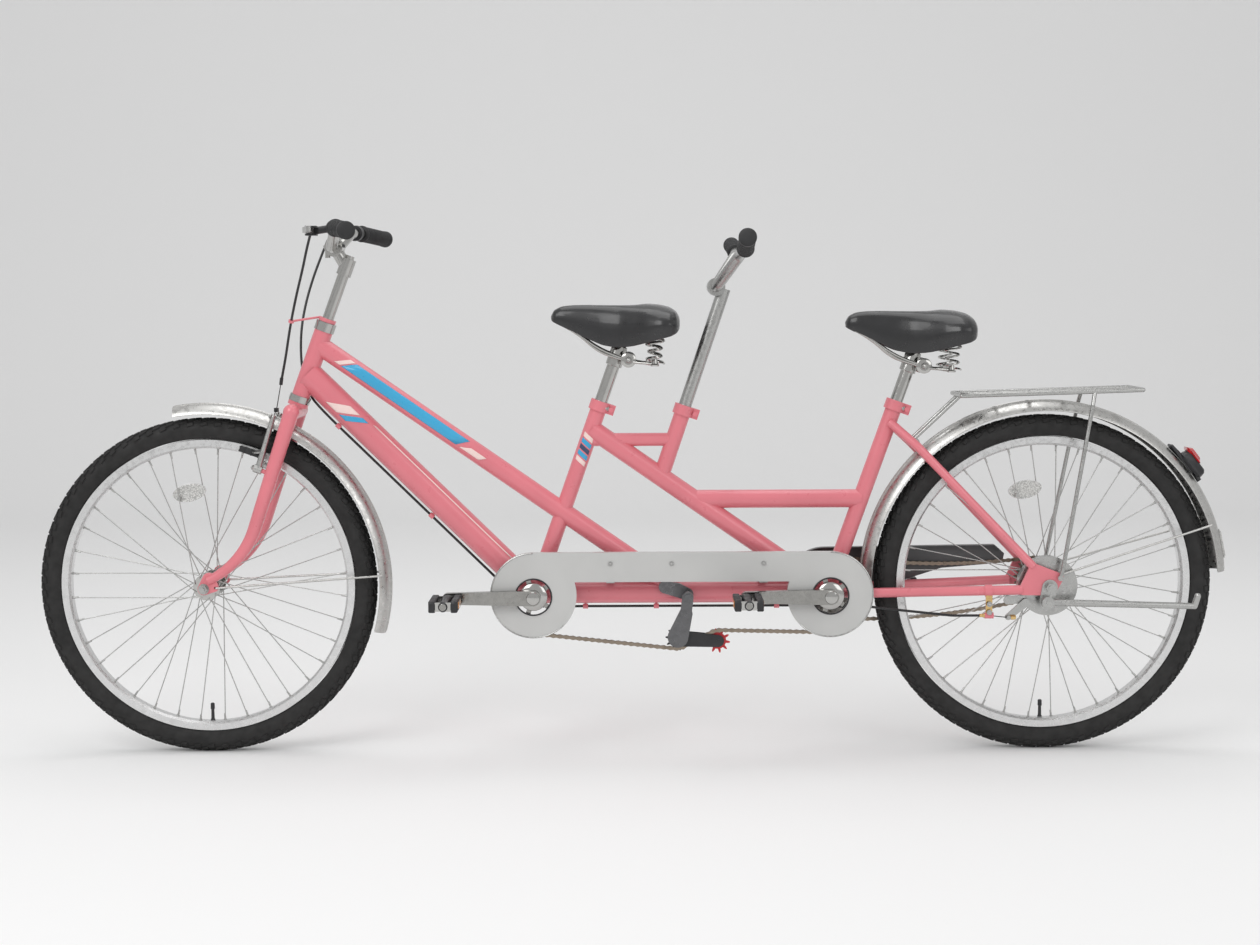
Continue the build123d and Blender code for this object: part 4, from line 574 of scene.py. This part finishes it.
def add_link_plate(bm, start, end, y, thickness, bulge):
    """One side plate: two round ends and a narrow waist."""
    run = Vector((end[0] - start[0], 0, end[1] - start[1]))
    along, length = run.normalized(), run.length
    up = Vector((-along.z, 0, along.x))
    outline = []
    for middle_at, first in ((length, -90), (0.0, 90)):
        outline += [(middle_at + bulge * cos(radians(first + 30 * k)), bulge * sin(radians(first + 30 * k)))
                    for k in range(7)]
        outline.append((length / 2, bulge * (0.62 if first < 0 else -0.62)))
    base = Vector((start[0], y, start[1]))
    rings = [[bm.verts.new(base + along * a + up * b + ACROSS * depth) for a, b in outline]
             for depth in (0, thickness)]
    for k in range(len(outline)):
        n = (k + 1) % len(outline)
        bm.faces.new((rings[0][k], rings[0][n], rings[1][n], rings[1][k]))
    bm.faces.new(rings[0][::-1])
    bm.faces.new(rings[1])


def make_chain(name, loop, y, sag, node):
    places = pin_places(loop, sag)
    bm = bmesh.new()
    for index, here in enumerate(places):
        there = places[(index + 1) % len(places)]
        inner = index % 2 == 0
        face = (1.6 if inner else 2.65) * MM
        for side in (-1, 1):
            low = y + side * face if side > 0 else y - face - 1.0 * MM
            add_link_plate(bm, here, there, low, 1.0 * MM, 4.1 * MM if inner else 3.9 * MM)
        centre = Vector((here[0], y - 3.75 * MM, here[1]))
        add_lathe(bm, centre, ACROSS, scaled((0, 1.5), (0.3, 1.8), (7.2, 1.8), (7.5, 1.5)), 8)
        add_lathe(bm, Vector((here[0], y - 1.6 * MM, here[1])), ACROSS,
                  scaled((0, 3.8), (3.2, 3.8)), 10)
    piece = to_object(name, bm, chain_steel, "frame")
    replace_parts(piece, node)


ring_radius, pulley_radius = pitch_radius(RING_TEETH), pitch_radius(PULLEY_TEETH)
timing_y = middle("timing_chain").y
drive_y = middle("drive_chain").y
make_chain("timing_chain_links", [
    (front_bb.x, front_bb.z, ring_radius, 1), (guide_at.x, guide_at.z, pulley_radius, 1),
    (tension_at.x, tension_at.z, pulley_radius, -1), (rear_bb.x, rear_bb.z, ring_radius, 1),
], timing_y, 0.0, "timing_chain")
make_chain("drive_chain_links", [
    (rear_bb.x, rear_bb.z, pitch_radius(DRIVE_TEETH), 1),
    (rear_axle.x, rear_axle.z, pitch_radius(FREEWHEEL_TEETH), 1),
], drive_y, 15 * MM, "drive_chain")

# ---------------------------------------------------------------- saddles
SADDLE_SIDE = (
    # along from the post's top, half width, top, skirt's lower edge, all in mm
    (-131, 10, 70, 58), (-126, 19, 80, 54), (-112, 24, 88, 47), (-90, 27, 91, 37), (-60, 31, 92, 22),
    (-30, 36, 92, 9), (0, 45, 92, 5), (28, 63, 92, 8), (55, 82, 91, 15), (80, 94, 89, 22),
    (100, 93, 84, 27),
    (112, 80, 76, 33), (118, 60, 66, 42),
)


def saddle_point(section, t):
    """A point of a saddle's skin: t goes from the left lower edge over the top to the right one."""
    along, half_width, top, edge = section
    angle = t * pi
    flat = 2.5
    y = -cos(angle)
    z = sin(angle)
    y = (abs(y) ** (2 / flat)) * (1 if y > 0 else -1)
    z = abs(z) ** (2 / (flat + 0.6))
    tuck = 1 - 0.10 * max(0.0, 1 - z * 2.2)
    crown = 1 - 0.05 * (1 - abs(y)) * (1 if along < 40 else -0.1)
    return Vector((along * MM, y * half_width * tuck * MM, (edge + (top - edge) * z * crown) * MM))


def make_saddle(name, seat, node, body):
    low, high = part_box(f"{seat}_seatpost")
    slide = Vector(joints[f"{seat}_seat_slide"]["axis"]).normalized()
    post_top = Vector((high.x - 12.7 * MM * slide.z, 0, high.z - 12.7 * MM * slide.x))
    bm = bmesh.new()
    across = 24
    rings = [[bm.verts.new(post_top + saddle_point(section, k / across)) for k in range(across + 1)]
             for section in SADDLE_SIDE]
    for here, there in zip(rings, rings[1:]):
        for k in range(across):
            bm.faces.new((here[k], here[k + 1], there[k + 1], there[k]))
    nose = post_top + Vector((-132.5 * MM, 0, 66 * MM))
    tip = bm.verts.new(nose)
    for k in range(across):
        bm.faces.new((tip, rings[0][k + 1], rings[0][k]))
    tail = bm.verts.new(post_top + Vector((120 * MM, 0, 56 * MM)))
    for k in range(across):
        bm.faces.new((tail, rings[-1][k], rings[-1][k + 1]))
    bm.faces.new((tip, rings[0][0], rings[0][-1]))
    bm.faces.new((tail, rings[-1][-1], rings[-1][0]))
    inner = [[bm.verts.new(Vector((v.co.x, v.co.y * 0.9, v.co.z + 3 * MM)))
              for v in (ring[0], ring[-1])] for ring in rings]
    roof = [bm.verts.new(beside(post_top, along, 0, edge + (top - edge) * 0.45))
            for along, wide, top, edge in SADDLE_SIDE]
    for index in range(len(rings) - 1):
        for edge, column in ((0, 0), (-1, 1)):
            bm.faces.new((rings[index][edge], rings[index + 1][edge],
                          inner[index + 1][column], inner[index][column]))
            bm.faces.new((inner[index][column], inner[index + 1][column], roof[index + 1], roof[index]))
    for ends in (0, -1):
        ring = rings[ends]
        bm.faces.new((ring[0], inner[ends][0], roof[ends]))
        bm.faces.new((ring[-1], inner[ends][1], roof[ends]))
        bm.faces.new((ring[0], roof[ends], ring[-1]))
    bmesh.ops.subdivide_edges(bm, edges=bm.edges, cuts=1, use_grid_fill=True, smooth=0.0)
    piece = to_object(name, bm, seat_vinyl, None)
    soften = piece.modifiers.new("round", "SUBSURF")
    soften.levels = 2
    soften.render_levels = 2
    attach(piece, body)
    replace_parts(piece, node)
    make_saddle_metal(f"{seat}_saddle_metal", post_top, slide, body)
    return piece


def make_saddle_metal(name, post_top, slide, body):
    """Rails, clamp, and two conical springs under the back of a saddle."""
    bm = bmesh.new()
    clamp = post_top + Vector((19, 0, -18)) * MM
    for side in (-1, 1):
        def rail(x, y, z):
            return post_top + Vector((x, side * y, z)) * MM

        for offset in (0, 6.5):
            wire = [rail(-112, 9, 54 - offset / 2), rail(-80, 14, 34), rail(-40, 22, 4 - offset),
                    rail(0, 26, -12 - offset / 2), rail(30, 26, -22 - offset / 3),
                    rail(66, 36 + offset / 2, -27 + offset / 3)]
            add_tube(bm, sampled(wire), 2.6 * MM, 10)
        turns, steps = 3.2, 66
        coil = []
        for k in range(steps + 1):
            t = k / steps
            angle = 2 * pi * turns * t
            wide = (12 + 6.5 * abs(2 * t - 0.9)) * MM
            coil.append(rail(70, 40, -25 + 47 * t) + Vector((cos(angle), sin(angle), 0)) * wide)
        add_tube(bm, coil, 2.1 * MM, 8)
        add_tube(bm, [coil[-1], rail(88, 56, 27), rail(96, 62, 34)], 2.1 * MM, 8)
        spring = scaled((0, 8), (3, 8.5), (5, 6), (14, 5), (16, 3))
        add_lathe(bm, rail(70, 40, -30), Vector((0, 0, 1)), spring, 16)
        disc = clamp + ACROSS * side * 16 * MM
        out = ACROSS * side
        ribbed = scaled((0, 14), (1, 15), (4, 15), (5, 13), (8, 13), (9, 15), (12.5, 15), (13.5, 13.5))
        add_lathe(bm, disc, out, ribbed, 32)
        add_bolt(bm, disc + out * 13.5 * MM, out, 6.5 * MM, 5 * MM)
    add_lathe(bm, clamp - ACROSS * 16 * MM, ACROSS, scaled((0, 9), (32, 9)), 24)
    sleeve_profile = scaled((0, 15), (1, 16.2), (30, 16.2), (40, 15), (43, 10))
    add_lathe(bm, post_top - slide * 32 * MM, slide, sleeve_profile, 32)
    add_tube(bm, [post_top - slide * 12 * MM, clamp], 8 * MM, 16)
    to_object(name, bm, chrome, body)


make_saddle("front_saddle_cover", "front", "front_saddle", "front_seat")
make_saddle("rear_saddle_cover", "rear", "rear_saddle", "rear_seat")


# ---------------------------------------------------------------- grips, pedals and cranks
GRIP_LENGTH, GRIP_PITCH = 115.6, 4.6
PEDAL_ROOT, CRANK_FACE = 98.5, 85.0         # outwards from the middle plane, in mm
TREADS, TREAD_PITCH, TREAD_AHEAD = 9, 9.6, 21.0


def make_grips(name, clamp, inner, outer, node, body):
    """Ribbed grips with a flange at the inner end and a domed cap."""
    bm = bmesh.new()
    for side in (-1, 1):
        root, tip = (beside(clamp, ahead, side * reach, up) for ahead, reach, up in (inner, outer))
        along = (tip - root).normalized()
        profile = [(0, 15.4), (0.8, 16.8), (4.0, 16.8), (5.0, 15.2), (8, 14.9)]
        at = 10.0
        while at < 100:
            profile += [(at, 14.6), (at + 0.7, 15.9), (at + 2.4, 15.9), (at + 3.1, 14.6)]
            at += GRIP_PITCH
        profile += [(104, 15.0), (106, 16.6), (115, 16.8), (117.4, 14.5), (118.4, 8.0)]
        add_lathe(bm, tip - along * GRIP_LENGTH * MM, along, scaled(*profile), 36)
    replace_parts(to_object(name, bm, rubber, body), node)


captain_clamp = steer(0.982, 0.0333)
stoker_clamp = Vector((rear_bb.x - 0.220, 0, 0.9147))
make_grips("captain_grip_ribs", captain_clamp, (23, 158, 33.5), (63.5, 284, 24),
           "handlebar_grips", "steering")
make_grips("stoker_grip_ribs", stoker_clamp, (48, 160, 68), (45, 284, 88),
           "stoker_grips", "stoker_stem")


def make_pedal(name, joint, body):
    """A block pedal: two ribbed treads on a barrel, joined by plates, with reflectors."""
    node = joint.replace("_spin", "")
    axle = joint_at(joint)
    centre = Vector((axle.x, middle(node).y, axle.z))
    side = 1 if axle.y > 0 else -1
    out = ACROSS * side
    start = Vector((axle.x, side * PEDAL_ROOT * MM, axle.z))
    blocks, plates, shine = bmesh.new(), bmesh.new(), bmesh.new()
    barrel = scaled((0, 9), (2, 10.5), (12, 10), (40, 8.5), (70, 9), (84, 10), (88, 7))
    add_lathe(blocks, start, out, barrel, 24)
    for fore in (-1, 1):
        for k in range(TREADS):
            tread = beside(centre, fore * TREAD_AHEAD, (k - TREADS // 2) * TREAD_PITCH)
            add_block(blocks, tread, WORLD_AXES, mm(13, 7.6, 22), 1.5 * MM)
        add_block(blocks, beside(centre, fore * 20), WORLD_AXES, mm(11, 86, 15), 1.5 * MM)
        add_block(shine, beside(centre, fore * 27.8), WORLD_AXES, mm(2, 48, 13), 0.5 * MM)
    for outward in (3, 84):
        add_block(plates, start + out * outward * MM, WORLD_AXES, mm(50, 2.4, 17), 1 * MM)
    add_lathe(plates, start + out * 86.5 * MM, out, scaled((0, 7), (1.6, 6.6), (2.6, 4)), 20)
    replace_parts(to_object(name, blocks, black, body), node)
    to_object(f"{name}_plates", plates, chrome, body)
    to_object(f"{name}_reflectors", shine, amber_lens, body)


for which in ("front_left", "front_right", "rear_left", "rear_right"):
    make_pedal(f"{which}_pedal_blocks", f"{which}_pedal_spin", f"{which}_pedal_body")


def make_crank_caps(end, centre):
    """Dust caps at both ends of the spindle, the pedals' axle ends, and the boss in the case's hole."""
    bm = bmesh.new()
    for side, which in ((-1, "left"), (1, "right")):
        out = ACROSS * side
        face = out * CRANK_FACE * MM
        eye = joint_at(f"{end}_{which}_pedal_spin")
        cap = scaled((0, 12.5), (1.5, 13), (3, 12), (4.4, 7), (4.8, 2))
        add_lathe(bm, Vector((centre.x, 0, centre.z)) + face, out, cap, 32)
        add_lathe(bm, Vector((eye.x, 0, eye.z)) + face, out, scaled((0, 8.5), (2.4, 8.5), (3, 7)), 24)
    boss = Vector((centre.x, -62 * MM, centre.z))
    add_lathe(bm, boss, -ACROSS, scaled((0, 27), (4, 27), (6.5, 24), (7.5, 14)), 48)
    to_object(f"{end}_crank_caps", bm, chrome, f"{end}_cranks")


make_crank_caps("front", front_bb)
make_crank_caps("rear", rear_bb)

# ---------------------------------------------------------------- chain case, mudguards and light
CASE_FACE, CASE_LIP_RADIUS, CASE_SHADE_RING_RADIUS = -66 * MM, 82.8 * MM, 35.4 * MM
CASE_BOLT_RISE = 62.0
MUDGUARD_LIP, MUDGUARD_CROWN = 340.4 * MM, 359.4 * MM
FRONT_MUDGUARD, REAR_MUDGUARD = (-15.5, 100.0), (3.5, 184.0)


def circle(centre, radius, y, first=0.0, last=360.0, count=60):
    """Points of an arc beside the bicycle, from one angle to another."""
    turns = (radians(first + (last - first) * k / count) for k in range(count + 1))
    return [Vector((centre.x + radius * cos(turn), y, centre.z + radius * sin(turn))) for turn in turns]


def make_case_trim():
    """A lip round both ends of the chain case, bolts along it, and a black ring in each hole that paints the shade
    of the gap round the boss.
    """
    lips, rings = bmesh.new(), bmesh.new()
    for bb, first in ((front_bb, 90), (rear_bb, 225)):
        lip = circle(beside(bb, z=3), CASE_LIP_RADIUS, CASE_FACE, first, first + 225, 45)
        add_tube(lips, lip, 1.4 * MM, 8)
        # painted shade: a black ring at each hole's edge stands in for the dark gap between the case and the boss
        add_tube(rings, circle(bb, CASE_SHADE_RING_RADIUS, CASE_FACE - 0.4 * MM)[:-1], 1.5 * MM, 8, True)
    centre_x = (front_bb.x + rear_bb.x) / 2
    for x in (front_bb.x + 150 * MM, rear_bb.x - 130 * MM, centre_x - 20 * MM):
        seat = Vector((x, CASE_FACE, front_bb.z + (3 + CASE_BOLT_RISE) * MM))
        add_bolt(lips, seat, -ACROSS, 3.4 * MM, 2.4 * MM)
    to_object("case_lip_and_bolts", lips, alloy, "frame")
    to_object("case_hole_shade_rings", rings, black, "frame")


def make_beads(name, centre, arc, body):
    """Rolled edges along a mudguard, and two ridges along its crown."""
    bm = bmesh.new()
    first, last = arc[0] + 0.4, arc[1] - 0.4
    for side in (-1, 1):
        add_tube(bm, circle(centre, MUDGUARD_LIP, side * 28.7 * MM, first, last, 90), 1.2 * MM, 8)
        add_tube(bm, circle(centre, MUDGUARD_CROWN, side * 6 * MM, first, last, 90), 1.2 * MM, 6)
    to_object(name, bm, fender_paint, body)


def wheel_axes(angle):
    """Round the wheel, across it, and outwards, at an angle."""
    out = at_wheel(Vector((0, 0, 0)), 1.0, angle)
    return Vector((out.z, 0, -out.x)), ACROSS, out


def make_tail_light():
    """A black body on a bracket with a red lens, and a clear reflector below it."""
    holder, glass, mirror = bmesh.new(), bmesh.new(), bmesh.new()
    axes = wheel_axes(38)
    add_block(holder, at_wheel(rear_axle, 373 * MM, 38.5), axes, mm(56, 41, 20), 4 * MM, 0.92)
    add_block(holder, at_wheel(rear_axle, 363 * MM, 42), axes, mm(70, 30, 5), 1.5 * MM)
    add_tube(holder, [at_wheel(rear_axle, 366 * MM, angle) for angle in (33, 38, 44, 47)], 5 * MM, 12)
    add_block(glass, at_wheel(rear_axle, 386 * MM, 40.5), axes, mm(40, 38, 11), 4.5 * MM, 0.86)
    round_way, across, out = wheel_axes(12)
    add_block(mirror, at_wheel(rear_axle, 361.5 * MM, 12), (-round_way, across, out), mm(58, 18, 4),
              1.5 * MM, 0.9)
    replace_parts(to_object("tail_light_body", holder, black, "frame"), "tail_light")
    to_object("tail_light_lens", glass, red_lens, "frame")
    to_object("mudguard_reflector", mirror, clear_lens, "frame")


make_case_trim()
make_beads("front_mudguard_beads", front_axle, FRONT_MUDGUARD, "steering")
make_beads("rear_mudguard_beads", rear_axle, REAR_MUDGUARD, "frame")
make_tail_light()

# ---------------------------------------------------------------- brakes and cables
PAD_ANGLE, PAD_TRACK, PAD_SIDE = 70.6, 280 * MM, 20.2


def make_brake_pad(side, name):
    """A grooved rubber pad over the arm's pad, and the arm's two nuts."""
    pads, nuts = bmesh.new(), bmesh.new()
    pad = at_wheel(front_axle, PAD_TRACK, PAD_ANGLE, side * PAD_SIDE * MM)
    out = at_wheel(Vector((0, 0, 0)), 1.0, PAD_ANGLE)
    tangent = Vector((-out.z, 0, out.x))
    axes = (tangent, ACROSS, out)
    add_block(pads, beside(pad, y=side * 0.3), axes, mm(52, 9.8, 11), 1.5 * MM)
    for along in (-15, 0, 15):
        add_block(pads, beside(pad, y=side * 3) + tangent * along * MM, axes, mm(3, 6, 12.4), 0.4 * MM)
    top_arm = steer(0.655, 0.0317, side * 38 * MM)
    low_arm = steer(0.5565, 0.032, side * 46 * MM)
    add_bolt(nuts, top_arm + steer_ahead * 4 * MM, steer_ahead, 4 * MM, 3 * MM)
    add_bolt(nuts, low_arm, steer_ahead, 5 * MM, 4 * MM)
    to_object(f"{name}_brake_pad", pads, rubber, f"{name}_brake_arm")
    to_object(f"{name}_brake_arm_nuts", nuts, zinc, f"{name}_brake_arm")


make_brake_pad(-1, "left")
make_brake_pad(1, "right")

# The loop of rear brake cable that lets the bars turn: its points are chosen
lever_z = captain_clamp.z / MM + 28
down_foot = steer(0.748)
down_line = (front_bb - down_foot).normalized()
below_tube = Vector((down_line.z, 0, -down_line.x))
cable_stop = down_foot + down_line * 107 * MM + below_tube * 33 * MM
LOOP = (
    (-604, 126.9, lever_z), (-606, 113, lever_z - 4), (-618, 99, 984), (-634, 85, 938), (-647, 72, 890),
    (-655, 59, 842), (-656, 47, 794), (-651, 36, 748), (-636, 21, 706),
)


def make_cable_loop():
    """Runs from the bars at its upper end to the frame's cable stop at its lower one; it is baked in place and
    rides on no body.
    """
    route = [Vector(point) * MM for point in LOOP]
    route += [beside(cable_stop, y=3) - down_line * 40 * MM, cable_stop - down_line * 0.5 * MM]
    bm = bmesh.new()
    add_tube(bm, sampled(route, 10), 2.45 * MM, 12)
    loop = to_object("rear_cable_loop", bm, sleeve, None)
    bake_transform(loop)
    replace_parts(loop, "rear_brake_cable_span")


make_cable_loop()

# ---------------------------------------------------------------- bolts and fittings
stay_stop = Vector((rear_axle.x - 116.5 * MM, -69 * MM, 276 * MM))


def make_frame_bolts():
    """Pinch bolts at the seat collars, and the two screws of the cable stop on the chain stay."""
    bm = bmesh.new()
    for seat in ("front", "rear"):
        slide = Vector(joints[f"{seat}_seat_slide"]["axis"]).normalized()
        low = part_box(f"{seat}_seatpost")[0]
        collar = Vector((low.x, 0, low.z)) + slide * 101 * MM
        for side in (-1, 1):
            add_bolt(bm, beside(collar, 25, side * 9.5), ACROSS * side, 4 * MM, 3 * MM)
    for lift in (7, 23):
        add_bolt(bm, beside(stay_stop, 0, -7.5, lift), -ACROSS, 3.6 * MM, 2.6 * MM)
    to_object("frame_bolts", bm, zinc, "frame")


def make_brass_fittings():
    """The rear cable's adjuster, its clamp, and the band that holds the stop on the stay."""
    bm = bmesh.new()
    adjuster = scaled((0, 5.6), (4, 5.6), (5, 4.4), (13, 4.4), (14, 3.4), (20, 3.4))
    add_lathe(bm, beside(stay_stop, 2), -WORLD_AXES[0], adjuster, 20)
    cable_clamp = scaled((0, 3), (1, 4.6), (10, 4.6), (11, 3))
    add_lathe(bm, beside(stay_stop, 42, 0, -4), WORLD_AXES[0], cable_clamp, 6)
    add_block(bm, beside(stay_stop, 0, -3, 20), WORLD_AXES, mm(13, 1.2, 41), 0.4 * MM)
    to_object("brass_cable_adjusters", bm, brass, "frame")


def make_stem_bolts():
    bm = bmesh.new()
    for side in (-1, 1):
        seat = beside(captain_clamp, 0, side * 10, -4) + steer_ahead * 17 * MM
        add_bolt(bm, seat, steer_ahead, 4 * MM, 2.5 * MM)
    to_object("stem_bolts", bm, zinc, "steering")


make_frame_bolts()
make_brass_fittings()
make_stem_bolts()

# ---------------------------------------------------------------- coloured bands on the tubes
FILM_LIFT, FILM_THICKNESS, BAND_STEPS = 0.35, 0.25, 12
TOP_TUBE_RADIUS, DOWN_TUBE_RADIUS, SEAT_TUBE_RADIUS = 19.0, 26.5, 15.9


def tube_band(name, foot, direction, radius, corners, material):
    """A film on a tube's left and right sides.

    corners holds its lower and its upper edge: where each starts and ends along the tube, in mm, and
    how far round the tube it lies, in degrees up from level.
    """
    direction = direction.normalized()
    up = direction.cross(ACROSS).normalized()
    if up.z < 0:
        up = -up
    (low_start, low_end, low_turn), (high_start, high_end, high_turn) = corners
    bm = bmesh.new()
    for side in (-1, 1):
        rows = []
        for j in range(BAND_STEPS + 1):
            rise = j / BAND_STEPS
            turn = radians(low_turn + (high_turn - low_turn) * rise)
            start = low_start + (high_start - low_start) * rise
            end = low_end + (high_end - low_end) * rise
            skin = foot + (ACROSS * side * cos(turn) + up * sin(turn)) * (radius + FILM_LIFT) * MM
            rows.append([bm.verts.new(skin + direction * (start + (end - start) * k / BAND_STEPS) * MM)
                         for k in range(BAND_STEPS + 1)])
        for here, there in zip(rows, rows[1:]):
            for k in range(BAND_STEPS):
                bm.faces.new((here[k], here[k + 1], there[k + 1], there[k]))
    piece = to_object(name, bm, material, "frame")
    thick = piece.modifiers.new("film", "SOLIDIFY")
    thick.thickness = FILM_THICKNESS * MM


top_foot = steer(0.805)
top_line = Vector((front_bb.x + 286 * MM, 0, front_bb.z)) - top_foot
seat_up = Vector(joints["front_seat_slide"]["axis"])
for name, corners, film in (
    ("top_band_blue", ((60, 330, -24), (85, 350, 40)), blue_film),
    ("top_band_pale_front", ((44, 56, -24), (69, 81, 40)), pale_film),
    ("top_band_pale_back", ((338, 384, -24), (360, 396, 10)), pale_film),
    ("top_band_navy", ((120, 230, 0), (128, 238, 22)), navy_film),
):
    tube_band(name, top_foot, top_line, TOP_TUBE_RADIUS, corners, film)
for name, corners, film in (
    ("down_band_pale", ((62, 92, -28), (104, 130, 34)), pale_film),
    ("down_band_blue", ((98, 116, -28), (137, 152, 34)), blue_film),
    ("down_edge_line", ((160, 540, 44), (166, 546, 50)), pale_film),
):
    tube_band(name, down_foot, down_line, DOWN_TUBE_RADIUS, corners, film)
for step, film in enumerate((pale_film, blue_film, navy_film, blue_film, pale_film)):
    at = 268 + step * 12
    corners = ((at, at + 9, -42), (at + 10, at + 19, 42))
    tube_band(f"seat_tube_band_{step}", front_bb, seat_up, SEAT_TUBE_RADIUS, corners, film)


# ---------------------------------------------------------------- stage, lights and camera
def make_stage():
    bm = bmesh.new()
    half, back, rise, bend = 9.0, 4.0, 6.0, 1.5
    turns = [k * pi / 24 for k in range(13)]
    line = [(-half, 0.0)] + [(back + bend * sin(turn), bend - bend * cos(turn)) for turn in turns]
    line.append((back + bend, rise))
    rows = [[bm.verts.new((x, y, z)) for x in (-12.0, 12.0)] for y, z in line]
    for here, there in zip(rows, rows[1:]):
        bm.faces.new((here[0], here[1], there[1], there[0]))
    mesh = bpy.data.meshes.new("floor")
    bm.to_mesh(mesh)
    bm.free()
    floor = bpy.data.objects.new("floor", mesh)
    bpy.context.scene.collection.objects.link(floor)
    mesh.shade_smooth()
    material, tree, shader, where = graph("floor_white", (0.86, 0.86, 0.86), 0.7)
    mesh.materials.append(material)


def make_light(name, place, target, energy, size):
    lamp = bpy.data.lights.new(name, "AREA")
    lamp.energy = energy
    lamp.size = size
    holder = bpy.data.objects.new(name, lamp)
    bpy.context.scene.collection.objects.link(holder)
    holder.location = place
    holder.rotation_euler = (Vector(target) - Vector(place)).to_track_quat("-Z", "Y").to_euler()


def make_camera():
    """A long lens square to the bicycle's left side, a little above the wheels."""
    camera = bpy.data.cameras.new("camera")
    camera.sensor_width = 36.0
    camera.lens = CAMERA_LENS
    camera.clip_end = 100.0
    holder = bpy.data.objects.new("camera", camera)
    bpy.context.scene.collection.objects.link(holder)
    holder.location = CAMERA_PLACE
    tilt = Matrix.Rotation(radians(90 - CAMERA_TILT), 4, "X")
    roll = Matrix.Rotation(radians(CAMERA_ROLL), 4, "Z")
    holder.matrix_world = Matrix.Translation(CAMERA_PLACE) @ tilt @ roll
    bpy.context.scene.camera = holder


CAMERA_PLACE, CAMERA_LENS, CAMERA_TILT, CAMERA_ROLL = Vector((-0.0045, -3.8, 0.897)), 55.4, 5.19, -0.24
make_stage()
world = bpy.data.worlds.new("studio")
world.use_nodes = True
world.node_tree.nodes["Background"].inputs["Color"].default_value = (1.0, 1.0, 1.0, 1)
world.node_tree.nodes["Background"].inputs["Strength"].default_value = 0.62
bpy.context.scene.world = world
bpy.context.scene.view_settings.view_transform = "Standard"
make_light("key", (-2.2, -3.2, 3.4), (0, 0, 0.4), 70, 2.6)
make_light("fill", (2.8, -3.0, 2.2), (0, 0, 0.5), 26, 2.4)
make_light("top", (0, 0.4, 4.0), (0, 0, 0.4), 45, 3.0)
make_camera()
